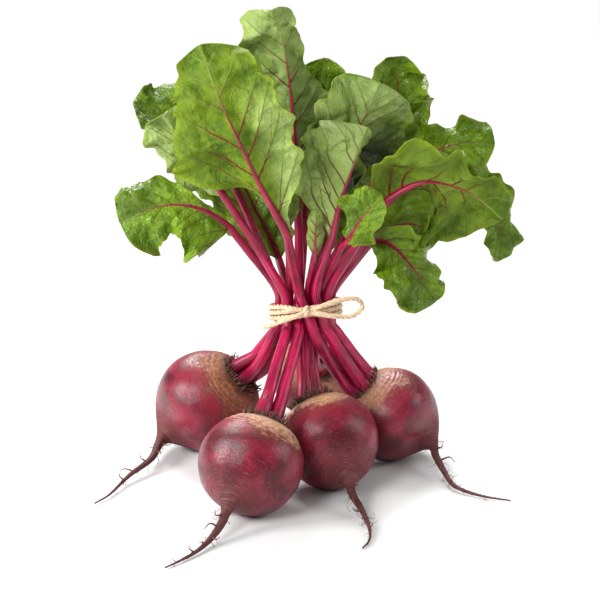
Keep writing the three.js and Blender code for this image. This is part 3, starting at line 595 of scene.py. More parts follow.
def cad_blade_centre(name):
    """The middle of a CAD blade's box, found from that blade's own coarse grid"""
    stations, across = 14, np.array([0, 0.4, 0.74, 1])
    one, line = LEAVES[name], LeafLine(name)
    shares = np.linspace(0, 1, stations + 1)
    shares = shares + 0.03 * np.sin(2 * math.pi * shares)
    centres, ups, sides = line.frames(line.blade_from + shares * line.blade)
    rib = np.where(shares < MIDRIB_END, midrib_radius(one, shares), STEM_RADIUS["end"])
    lift = rib * MIDRIB_SEAT + MIDRIB_GAP + BLADE_THICKNESS / 2
    points = []
    for side, sign in ((0, -1), (1, 1)):
        for t in across:
            out, rise = blade_offsets(one, side, shares, t, half_width(one, side, shares))
            points.append(centres + sides * (sign * out)[:, None] + ups * (lift + rise)[:, None])
    points = np.concatenate(points)
    return (points.min(axis=0) + points.max(axis=0)) / 2


def part_to_row(name="front_tall"):
    """How far the row's frame is from the part's own, in millimetres on the ground"""
    low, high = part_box(f"blade_{name}")
    middle = (np.array(low) + np.array(high)) / 2 / MM
    shift = middle - cad_blade_centre(name)
    return np.array([shift[0], shift[1], 0])


SHIFT = part_to_row()


class Surface:
    """Points, faces and values at the points, gathered for one piece"""

    def __init__(self):
        self.points, self.faces, self.values, self.count = [], [], [], 0

    def add(self, points, faces, **values):
        points = np.asarray(points, float).reshape(-1, 3)
        self.points.append(points)
        self.faces += [tuple(int(i) + self.count for i in face) for face in faces]
        self.values.append({key: np.asarray(value, float) for key, value in values.items()})
        self.count += len(points)

    def tube(self, rings, **values):
        """A closed tube through rings of points"""
        rows, sides = rings.shape[:2]
        ends = [range(sides - 1, -1, -1), range((rows - 1) * sides, rows * sides)]
        self.add(rings, [*grid_faces(rows, sides, wrap=True), *ends], **values)

    def value(self, key):
        parts = []
        for points, values in zip(self.points, self.values):
            value = values.get(key, np.zeros(1))
            wide = 3 if any(v.get(key, np.zeros(1)).shape[-1:] == (3,) for v in self.values) else 1
            parts.append(np.broadcast_to(value.reshape(-1, wide), (len(points), wide)))
        return np.concatenate(parts)

    def piece(self, name, slot, material, node=None):
        mesh = bpy.data.meshes.new(name)
        points = (np.concatenate(self.points) + SHIFT) * MM
        mesh.from_pydata(points.tolist(), [], self.faces)
        for key in sorted({key for values in self.values for key in values}):
            data = self.value(key)
            kind, field = ("FLOAT_VECTOR", "vector") if data.shape[1] == 3 else ("FLOAT", "value")
            mesh.attributes.new(key, kind, "POINT").data.foreach_set(field, data.ravel().astype(np.float32))
        mesh.shade_smooth()
        mesh.materials.append(material)
        made = bpy.data.objects.new(name, mesh)
        bpy.context.scene.collection.objects.link(made)
        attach(made, "root")
        if node:
            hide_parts(node)
        return made


def grid_faces(rows, columns, wrap=False, flip=False, first=0):
    i = np.arange(rows - 1)[:, None]
    j = np.arange(columns if wrap else columns - 1)[None, :]
    k = (j + 1) % columns
    quads = np.stack([i * columns + j, i * columns + k, (i + 1) * columns + k, (i + 1) * columns + j], -1)
    quads = quads.reshape(-1, 4) + first
    return (quads[:, ::-1] if flip else quads).tolist()


def rings_round(centres, u, v, radius, sides, shape=None):
    """Rings of points round centres, with a radius for each and a shape by angle"""
    angle = 2 * math.pi * np.arange(sides) / sides
    radius = np.broadcast_to(np.asarray(radius, float), (len(centres),))[:, None]
    radius = radius * (shape(angle)[None, :] if shape else 1)
    out = u[:, None] * np.cos(angle)[None, :, None] + v[:, None] * np.sin(angle)[None, :, None]
    return centres[:, None] + out * radius[..., None], out, angle


def thin_tube(surface, points, radii, sides=3, steps_each=3, **values):
    """A thin tapered tube along points, with its radius at the start and at the end"""
    path = Path(points, steps_each)
    directions = unit(np.gradient(path.line, axis=0))
    side = carried(np.array([0.3, 0.2, 1.0]), directions)
    radius = np.interp(path.run, [0, path.total], radii)
    rings, _, _ = rings_round(path.line, side, np.cross(directions, side), radius, sides)
    surface.tube(rings, **values)


# Materials
class Material:
    """A material made of nodes, with short names for the kinds of node used here"""

    def __init__(self, name):
        self.material = bpy.data.materials.new(name)
        self.material.use_nodes = True
        self.tree = self.material.node_tree
        self.shader = self.tree.nodes["Principled BSDF"]

    def node(self, kind, inputs=(), **settings):
        made = self.tree.nodes.new("ShaderNode" + kind)
        for key, value in settings.items():
            setattr(made, key, value)
        for key, value in dict(inputs).items():
            self.put(made.inputs[key], value)
        return made

    def put(self, socket, value):
        if isinstance(value, bpy.types.NodeSocket):
            self.tree.links.new(value, socket)
        else:
            socket.default_value = value

    def set(self, **values):
        for key, value in values.items():
            self.put(self.shader.inputs[key.replace("_", " ")], value)

    def attribute(self, name, kind="Fac"):
        return self.node("Attribute", attribute_name=name).outputs[kind]

    def math(self, operation, a, b=0.0):
        return self.node("Math", {0: a, 1: b}, operation=operation).outputs[0]

    def ramp(self, value, low, high, at_low=0.0, at_high=1.0):
        """A smooth rise or fall of a value between two limits"""
        inputs = {"Value": value, "From Min": low, "From Max": high, "To Min": at_low, "To Max": at_high}
        return self.node("MapRange", inputs, interpolation_type="SMOOTHSTEP").outputs[0]

    def mix(self, factor, a, b):
        a, b = ((*c, 1) if isinstance(c, tuple) else c for c in (a, b))
        inputs = {0: factor, 6: a, 7: b}
        return self.node("Mix", inputs, data_type="RGBA").outputs[2]

    def stretched(self, vector, scale):
        return self.node("VectorMath", {0: vector, 1: scale}, operation="MULTIPLY").outputs[0]

    def noise(self, vector, scale, detail=3.0, roughness=0.55):
        inputs = {"Vector": vector, "Scale": scale, "Detail": detail, "Roughness": roughness}
        return self.node("TexNoise", inputs).outputs["Fac"]

    def edges(self, vector, scale):
        inputs = {"Vector": vector, "Scale": scale}
        return self.node("TexVoronoi", inputs, feature="DISTANCE_TO_EDGE").outputs["Distance"]

    def bump(self, height, distance, strength):
        inputs = {"Height": height, "Distance": distance * MM, "Strength": strength}
        return self.node("Bump", inputs).outputs["Normal"]

    def total(self, *parts):
        """The sum of values, each times its share"""
        total = None
        for value, share in parts:
            part = self.math("MULTIPLY", value, share)
            total = part if total is None else self.math("ADD", total, part)
        return total

    def layers(self, colour, *layers):
        """Colours laid over one another: each is a value, its two limits, how much it covers there, its colour"""
        for value, low, high, at_low, at_high, over in layers:
            colour = self.mix(self.ramp(value, low, high, at_low, at_high), colour, over)
        return colour


def skin_material():
    """Beetroot skin: crimson purple, corky brown at the crown, dull at the root end and brown on the taproot.
    place is in millimetres, down is the distance from the crown in radii of the bulb, and dry is 1 where the
    cork is pale and 0 where it is reddish."""
    m = Material("beetroot_skin")
    place = m.attribute("place", "Vector")
    down = m.attribute("down")
    patches = m.noise(place, 0.055, 4)
    mottle = m.noise(place, 0.35, 4)
    grain = m.noise(place, 1.6, 3)
    flakes = m.noise(place, 0.75, 3, 0.65)
    scratches = m.noise(m.stretched(place, (0.12, 0.12, 1.9)), 1.0, 3, 0.6)
    specks = m.noise(m.stretched(place, (0.8, 0.8, 2.6)), 1.0, 2)
    body = m.layers(
        (0.075, 0.002, 0.008),
        (patches, 0.35, 0.65, 0, 1, (0.225, 0.005, 0.027)),
        (mottle, 0.52, 0.75, 0, 0.4, (0.300, 0.018, 0.050)),
        (mottle, 0.25, 0.45, 0.45, 0, (0.045, 0.003, 0.008)),
        (scratches, 0.60, 0.70, 0, 0.4, (0.36, 0.13, 0.12)),
        (specks, 0.66, 0.72, 0, 0.7, (0.40, 0.17, 0.15)),
        (grain, 0.64, 0.72, 0, 0.55, (0.05, 0.008, 0.014)),
    )
    reddish = m.layers((0.150, 0.036, 0.014), (mottle, 0.42, 0.62, 0, 1, (0.420, 0.135, 0.040)))
    pale = m.layers((0.640, 0.340, 0.190), (patches, 0.35, 0.65, 0, 1, (0.880, 0.580, 0.390)))
    cork = m.layers(
        m.mix(m.attribute("dry"), reddish, pale),
        (scratches, 0.58, 0.70, 0, 0.45, (0.760, 0.500, 0.330)),
        (flakes, 0.48, 0.64, 0, 0.55, (0.170, 0.062, 0.030)),
        (grain, 0.52, 0.68, 0, 0.5, (0.110, 0.046, 0.024)),
    )
    wander = m.math("SUBTRACT", m.total((patches, 1.1), (mottle, 0.66)), 0.88)
    reach = m.math("ADD", down, wander)
    top = m.ramp(reach, 0.06, 0.42, 1, 0)
    end = m.ramp(m.math("ADD", down, m.math("MULTIPLY", wander, 0.5)), 1.6, 2.0)
    dull = m.layers((0.085, 0.022, 0.022), (scratches, 0.45, 0.65, 0, 1, (0.175, 0.066, 0.058)))
    tap = m.mix(mottle, (0.045, 0.010, 0.010), (0.115, 0.036, 0.028))
    colour = m.layers(body, (reach, 0.12, 0.85, 0.42, 0, (0.30, 0.10, 0.07)))
    colour = m.mix(top, colour, cork)
    colour = m.mix(m.math("MULTIPLY", end, 0.75), colour, dull)
    colour = m.layers(
        colour,
        (down, 2.0, 2.4, 0, 0.8, tap),
        (down, -0.02, 0.12, 0.92, 0, (0.035, 0.018, 0.012)),
    )
    rough = m.ramp(m.math("ADD", grain, m.math("MAXIMUM", top, end)), 0.3, 1.5, 0.26, 0.72)
    raised = m.ramp(specks, 0.62, 0.72)
    flaked = m.math("MULTIPLY", flakes, top)
    height = m.total((mottle, 0.7), (grain, 0.45), (scratches, 0.5), (raised, 0.5), (flaked, -3.0))
    m.set(Base_Color=colour, Roughness=rough, Normal=m.bump(height, 0.3, 0.75))
    m.set(Specular_IOR_Level=0.42)
    return m.material


def hair_material():
    """Side roots, hairs and the dry stubs on the crown; tint is 0 for brown and 1 for red"""
    m = Material("beetroot_hair")
    place = m.attribute("place", "Vector")
    dry = m.mix(m.noise(place, 0.9), (0.028, 0.014, 0.010), (0.150, 0.068, 0.036))
    fresh = m.mix(m.noise(place, 0.5), (0.20, 0.010, 0.035), (0.42, 0.06, 0.11))
    colour = m.mix(m.attribute("tint"), dry, fresh)
    m.set(Base_Color=colour, Roughness=0.7, Normal=m.bump(m.noise(place, 2.5), 0.15, 0.6))
    return m.material


def stalk_material():
    """Leaf stalk: glossy magenta red with pale streaks along it. along is the share of the way to the blade, and
    green is 1 where the midrib has faded to green."""
    m = Material("beetroot_stalk")
    place = m.attribute("place", "Vector")
    along = m.attribute("along")
    streaks = m.noise(m.stretched(place, (0.62, 0.62, 0.02)), 1.0, 3, 0.6)
    fine = m.noise(m.stretched(place, (2.2, 2.2, 0.05)), 1.0, 2)
    cloud = m.noise(place, 0.05, 3)
    colour = m.layers(
        (0.200, 0.001, 0.026),
        (cloud, 0.35, 0.65, 0, 1, (0.45, 0.003, 0.066)),
        (streaks, 0.55, 0.66, 0, 0.75, (0.640, 0.028, 0.140)),
        (fine, 0.62, 0.70, 0, 0.4, (0.80, 0.200, 0.330)),
        (streaks, 0.30, 0.44, 0.65, 0, (0.080, 0.001, 0.012)),
        (along, 0.0, 0.14, 0.6, 0, (0.15, 0.006, 0.022)),
        (along, 0.62, 1.0, 0, 0.55, (0.165, 0.006, 0.020)),
    )
    colour = m.mix(m.attribute("green"), colour, (0.230, 0.330, 0.060))
    height = m.total((streaks, 1.0), (fine, 0.35))
    m.set(Base_Color=colour, Roughness=m.ramp(fine, 0.3, 0.7, 0.22, 0.40), Normal=m.bump(height, 0.45, 0.9))
    m.set(Specular_IOR_Level=0.38)
    return m.material


FADED_VEIN = (0.165, 0.225, 0.035)


def leaf_material(name, specular):
    """Leaf blade: glossy dark green above, paler and matt beneath, with red veins that fade to green.
    flat is a point of the blade laid out flat in millimetres, vein counts the side veins, rib is the distance
    from the midrib's edge, rim runs from 0 at the midrib to 1 at the margin, upper is 1 on the upper side, warm
    is how yellow the leaf is, lowered where painted sheen makes one half paler, ridge is 1 on a vein that stands
    out beneath, tip rises to 1 at the tip, and a blade in the heart of the bunch is darkened by painted shade
    where the shade value is 1."""
    m = Material(name)
    flat = m.attribute("flat", "Vector")
    rim, upper, warm = (m.attribute(key) for key in ("rim", "upper", "warm"))
    cloud = m.noise(flat, 0.035, 4)
    mottle = m.noise(flat, 0.22, 4)
    shake = m.node("TexNoise", {"Vector": flat, "Scale": 0.16, "Detail": 2.0}).outputs["Color"]
    shaken = m.stretched(shake, (5.0, 5.0, 0.0))
    warped = m.node("VectorMath", {0: flat, 1: shaken}, operation="ADD").outputs[0]
    net_edges = m.edges(warped, 0.17)
    fine_edges = m.edges(warped, 0.52)
    net = m.ramp(net_edges, 0.0, 0.07, 1, 0)
    fine_net = m.ramp(fine_edges, 0.0, 0.12, 1, 0)

    above = m.layers((0.048, 0.110, 0.003), (cloud, 0.35, 0.65, 0, 1, (0.150, 0.270, 0.006)))
    above = m.mix(m.math("MULTIPLY", warm, 0.5), above, (0.120, 0.205, 0.001))
    beneath = m.layers((0.165, 0.250, 0.050), (cloud, 0.35, 0.65, 0, 1, (0.350, 0.460, 0.150)))
    yellow = m.layers((0.044, 0.094, 0.001), (cloud, 0.4, 0.6, 0, 1, (0.104, 0.172, 0.001)))
    beneath = m.mix(warm, beneath, yellow)
    colour = m.layers(
        m.mix(upper, beneath, above),
        (mottle, 0.45, 0.7, 0, 0.3, (0.195, 0.290, 0.008)),
        (mottle, 0.25, 0.45, 0.4, 0, (0.020, 0.055, 0.001)),
        (rim, 0.82, 1.0, 0, 0.5, (0.220, 0.290, 0.008)),
        (net_edges, 0.0, 0.07, 0.16, 0, (0.200, 0.270, 0.040)),
        (fine_edges, 0.0, 0.12, 0.10, 0, (0.170, 0.240, 0.025)),
    )

    off_vein = m.math("PINGPONG", m.attribute("vein"), 0.5)
    wide = m.ramp(rim, 0.0, 0.9, 0.036, 0.012)
    on_vein = m.ramp(m.math("DIVIDE", off_vein, wide), 0.45, 1.25, 1, 0)
    red = m.math("ADD", m.ramp(rim, 0.2, 0.75, 1, 0), m.ramp(mottle, 0.3, 0.7, -0.25, 0.2))
    red.node.use_clamp = True
    fade = m.math("SUBTRACT", 1.0, m.attribute("tip"))
    vein_colour = m.mix(m.math("MULTIPLY", red, fade), FADED_VEIN, (0.130, 0.004, 0.010))
    colour = m.mix(m.math("MULTIPLY", on_vein, m.ramp(rim, 0.7, 1.0, 0.8, 0)), colour, vein_colour)
    colour = m.mix(m.attribute("ridge"), colour, vein_colour)
    # Painted shade: a near-black green laid on the half of a blade that sits in shadow in the heart of the bunch
    colour = m.mix(m.attribute("shaded"), colour, (0.014, 0.020, 0.001))
    rib_colour = m.mix(fade, FADED_VEIN, (0.230, 0.006, 0.026))
    colour = m.layers(colour, (m.attribute("rib"), -0.3, 0.7, 1, 0, rib_colour))

    rough = m.math("ADD", m.math("MULTIPLY", mottle, 0.2), m.ramp(upper, 0.0, 1.0, 0.38, 0.14))
    sunk = m.total((net, -1.0), (on_vein, -1.5), (fine_net, -0.4))
    sunk = m.math("MULTIPLY", sunk, m.ramp(upper, 0.0, 1.0, -0.5, 1.0))
    height = m.total((sunk, 1.0), (mottle, 0.6), (m.noise(warped, 0.45, 2.0), 2.2))
    m.set(Base_Color=colour, Roughness=rough, Normal=m.bump(height, 0.42, 0.9))
    m.set(Specular_IOR_Level=specular)
    return m.material


def twine_material():
    """Jute: straw-coloured fibres along each strand"""
    m = Material("jute_twine")
    place = m.attribute("place", "Vector")
    fibres = m.noise(m.stretched(place, (3.2, 3.2, 0.35)), 1.0, 3, 0.65)
    cloud = m.noise(place, 0.12, 3)
    colour = m.layers(
        (0.330, 0.185, 0.085),
        (fibres, 0.3, 0.62, 0, 1, (0.940, 0.720, 0.500)),
        (cloud, 0.4, 0.7, 0, 0.4, (0.94, 0.77, 0.56)),
    )
    m.set(Base_Color=colour, Roughness=0.82, Normal=m.bump(fibres, 0.3, 0.9))
    m.set(Specular_IOR_Level=0.25)
    return m.material


# Roots
seed = 20


def draw():
    """A repeatable draw of numbers from 0 to 1"""
    global seed
    seed = seed * 16807 % 2147483647
    return seed / 2147483647


# Relief of the roots: heights, sizes and seeds of their lumps, and how the rings are evened out
BULB_LUMPS = [(0.6, 19, 1), (0.22, 7, 2)]
BULB_RINGS = 130
TAPROOT_RINGS = 70
FIRST_EVEN_RING = 16
EVEN_ROUNDS = 40
TAPROOT_SLIMMER = 0.26
CROWN_DOME = (0.92, 0.6, 0.3)
CROWN_SINK = 1.2


class RootLine:
    """A root's line from its crown through its bulb and along its taproot, with its width"""

    def __init__(self, root, steps_each=10):
        self.radius = root["radius"]
        _, centre, crown, neck = bulb_of(root)
        self.path = Path([crown, centre, neck, *root["taproot"]], steps_each)
        self.bulb_end = BULB_PROFILE[-1][0] * self.radius
        self.neck_radius = BULB_PROFILE[-1][1] * self.radius

    def taproot_radius(self, share):
        return TAPROOT_TIP + (self.neck_radius - TAPROOT_TIP) * np.maximum(0, 1 - share) ** 1.35

    def width(self, s):
        bulb = smooth_through(BULB_PROFILE, s / self.radius) * self.radius
        share = (s - self.bulb_end) / (self.path.total - self.bulb_end)
        slimmer = 1 - TAPROOT_SLIMMER * smooth_step(1.82, 2.2, s / self.radius)
        return slimmer * np.where(s < self.bulb_end, bulb, self.taproot_radius(share))

    def branch(self, s, angle):
        """The line's direction at a distance along it, and the way out of it at an angle from level"""
        direction = self.path.direction(s)
        level = unit(np.cross([0, 0, 1], direction))
        return direction, level * math.cos(angle) + np.cross(direction, level) * math.sin(angle)


def evened(rings, first, last):
    """Rings evened out between two of them, so that none crosses another where their line bends"""
    for _ in range(EVEN_ROUNDS):
        between = (rings[first - 1:last - 1] + rings[first + 1:last + 1]) / 2
        rings[first:last] += (between - rings[first:last]) / 2
    return rings


def root_relief(rings, s, width, radius, angle):
    """How far each point of a root stands out: lumps and bark on the bulb, creases at its end"""
    down = (s / radius)[:, None]
    crown = 1 - smooth_step(0.12, 0.5, down)
    end = smooth_step(1.65, 2.0, down)
    bark = crown * (0.34 * noise(rings, 2.6, 3) + 0.3 * np.abs(noise(rings, 1.5, 4)))
    scars = crown * 0.3 * np.sin(2 * math.pi * s[:, None] / 2.3 + 2.2 * noise(rings, 9, 5))
    creases = end * 0.22 * noise(grid_of(s[:, None] / 1.4, 0.5 * np.cos(angle)), 1, 6)
    ridges = end * 0.2 * noise(grid_of(np.cos(angle), np.sin(angle)), 0.35, 8)
    thick = np.minimum(1, width / 9)[:, None]
    lumpy = (lumps(rings, BULB_LUMPS) + bark + scars) * np.minimum(1, width / 20)[:, None]
    return lumpy + (creases + ridges) * thick


def root_piece(name, material):
    root = ROOTS[name]
    line = RootLine(root, steps_each=30)
    bulb = line.bulb_end * np.linspace(0, 1, BULB_RINGS) ** 1.15
    tail = np.linspace(line.bulb_end, line.path.total, TAPROOT_RINGS)[1:]
    s = np.concatenate([bulb, tail])
    width = line.width(s)
    directions = line.path.direction(s, reach=3 + 0.4 * width)
    side = carried(np.array([0, 1, 0.1]), directions)
    rings, out, angle = rings_round(line.path.at(s), side, np.cross(directions, side), width, ROOT_SIDES)
    rings = evened(rings, FIRST_EVEN_RING, BULB_RINGS)
    rings = rings + out * root_relief(rings, s, width, line.radius, angle)[..., None]
    top = line.path.at(0)
    dome = [rings[:1] * (1 - k) + top * k - directions[0] * CROWN_SINK * k for k in CROWN_DOME]
    rings = np.concatenate([*dome, rings])
    rings[..., 2] = np.maximum(rings[..., 2], 0)
    s = np.concatenate([np.full(len(dome), -0.02 * line.radius), s])
    width = np.concatenate([width[:1] * 0.5] * len(dome) + [width])
    place = unrolled(width[:, None], angle, s[:, None], 90 * list(ROOTS).index(name))
    surface = Surface()
    surface.tube(rings, place=place, down=np.repeat(s / line.radius, ROOT_SIDES), dry=root["dry"])
    return surface.piece(f"root_{name}_skin", "skin", material, f"root_{name}")


# Side roots, hairs and the dry stubs in two rings round the stems
HAIRS = 46
STUBS_IN_RING = 65
STUB_RINGS = [(0.33, 0.45), (0.26, 0.37)]
STUB_LENGTH = (1.6, 5.6)
RED_STUBS = 0.12


def hairs_piece(name, material, rng):
    """The side roots of the CAD root, finer hairs between them and the dry stubs round the stems"""
    line = RootLine(ROOTS[name])
    path, start = line.path, line.bulb_end
    surface = Surface()
    for i, share in enumerate(np.linspace(0.02, 0.62, ROOTLETS)):
        s = start + share * (path.total - start)
        direction, out = line.branch(s, math.radians(15 + 150 * draw()))
        reach = (6 + 7 * draw()) * (1 - 0.5 * share)
        foot = path.at(s) + out * line.taproot_radius(share) * 0.5
        middle = foot + out * reach * 0.6 + direction * reach * 0.35
        tip = middle + out * reach * 0.15 + direction * reach * (0.6 if i % 2 else -0.3)
        thin_tube(surface, [foot, middle, tip], (0.7, 0.22), 5, 6, place=foot, tint=0.25)
    start = start * 0.87
    for _ in range(HAIRS):
        s = start + (path.total - start) * rng.random() ** 1.4 * 0.93
        direction, out = line.branch(s, 2 * math.pi * rng.random())
        fade = 1 - 0.55 * (s - start) / (path.total - start)
        reach = (2.5 + 7.5 * rng.random() ** 2) * fade
        bend = rng.normal(0, 0.35, (2, 3)) * reach
        foot = path.at(s) + out * (line.width(s) - 0.25)
        middle = foot + out * reach * 0.55 + direction * reach * 0.3 + bend[0] * 0.5
        tip = middle + out * reach * 0.2 + direction * reach * rng.uniform(-0.4, 0.7) + bend[1]
        points = np.array([foot, middle, tip])
        points[:, 2] = np.maximum(points[:, 2], 0.5)
        thin_tube(surface, points, (rng.uniform(0.14, 0.3), 0.07), 3, 3, place=foot, tint=0.1 * rng.random())
    crown_stubs(surface, name, rng)
    return surface.piece(f"root_{name}_hairs", "skin", material)


def crown_stubs(surface, name, rng):
    """Dry ends of old stems, in a ragged collar of two rings round the living ones"""
    radius = ROOTS[name]["radius"]
    axis, _, crown, _ = bulb_of(ROOTS[name])
    u = square_to(np.array([1, 0, 0.01]), axis)
    v = np.cross(axis, u)
    for i in range(2 * STUBS_IN_RING):
        inner = i // STUBS_IN_RING
        angle = 2 * math.pi * (i + rng.uniform(-0.4, 0.4)) / STUBS_IN_RING
        ring = radius * rng.uniform(*STUB_RINGS[inner])
        out = u * math.cos(angle) + v * math.sin(angle)
        drop = 0.12 * max(0, ring - 0.34 * radius)
        foot = crown + out * ring - axis * (0.8 + drop)
        reach = rng.uniform(*STUB_LENGTH) * (1 if inner else 1.25)
        lean = out * rng.uniform(0.1, 0.9) + axis
        middle = foot + unit(lean + rng.normal(0, 0.25, 3)) * reach * 0.6
        tip = middle + unit(lean + rng.normal(0, 0.6, 3)) * reach * 0.4
        wide = rng.uniform(0.45, 1.15)
        tint = 0.75 if rng.random() < RED_STUBS else 0.0
        thin_tube(surface, [foot, middle, tip], (wide, 0.12), 4, 3, place=foot, tint=tint)


# Leaves
def stalk_piece(name, material):
    one = LEAVES[name]
    line = LeafLine(name, steps_each=20)
    stalk = np.linspace(STEM_START, line.blade_from, STALK_RINGS)
    rib = np.linspace(line.blade_from, line.blade_from + line.blade * MIDRIB_END, MIDRIB_RINGS)[1:]
    s = np.concatenate([stalk, rib])
    centres, ups, sides = line.frames(s)
    along = s / line.blade_from
    share = (s - line.blade_from) / line.blade
    radius = np.where(along <= 1, stem_radius(one, along), fine_midrib_radius(one, np.maximum(share, 0)))
    rings, out, angle = rings_round(centres, sides, -ups, radius, STALK_SIDES, flat_above)
    turn = one["phase"] * 3
    thick = radius[:, None] * (1 - 0.55 * smooth_step(1, 1.5, along))[:, None]
    ribs = 0.05 * thick * np.cos(9 * angle + turn) + 0.025 * thick * np.cos(13 * angle + 2 * turn)
    hollow = np.exp(-(((np.sin(angle) + 1) / 0.16) ** 2))
    groove = -0.16 * thick * hollow * smooth_step(0.2, 0.5, along)[:, None]
    flare = 0.13 * thick * (1 - smooth_step(0.03, 0.13, along))[:, None]
    uneven = 0.05 * thick * noise(rings, 11, 3)
    rings = rings + out * (ribs + groove + flare + uneven)[..., None]
    place = unrolled(radius[:, None], angle, s[:, None], 60 * leaf_names.index(name))
    along = np.repeat(along, STALK_SIDES)
    green = np.repeat(0.9 * smooth_step(0.6, 0.85, share), STALK_SIDES)
    surface = Surface()
    surface.tube(rings, place=place, along=along, green=green)
    return surface.piece(f"stalk_{name}", "stem", material, f"stem_{name}")


def flat_above(angle):
    """A stalk is a little flatter on its upper side"""
    return 1 - 0.16 * np.maximum(0, -np.sin(angle))


# The side veins of a blade leave the midrib aslant and bend towards the tip
VEIN_SPACING = 0.145
VEIN_SLANT = 1.0
VEIN_BEND = 0.006
VEIN_RINGS = 26
VEIN_SIDES = 6

# Where the smaller veins leave a side vein, as shares of the half width, and their slants
SMALL_VEINS = [(0.3, 0.25), (0.5, 1.9), (0.68, 0.2)]


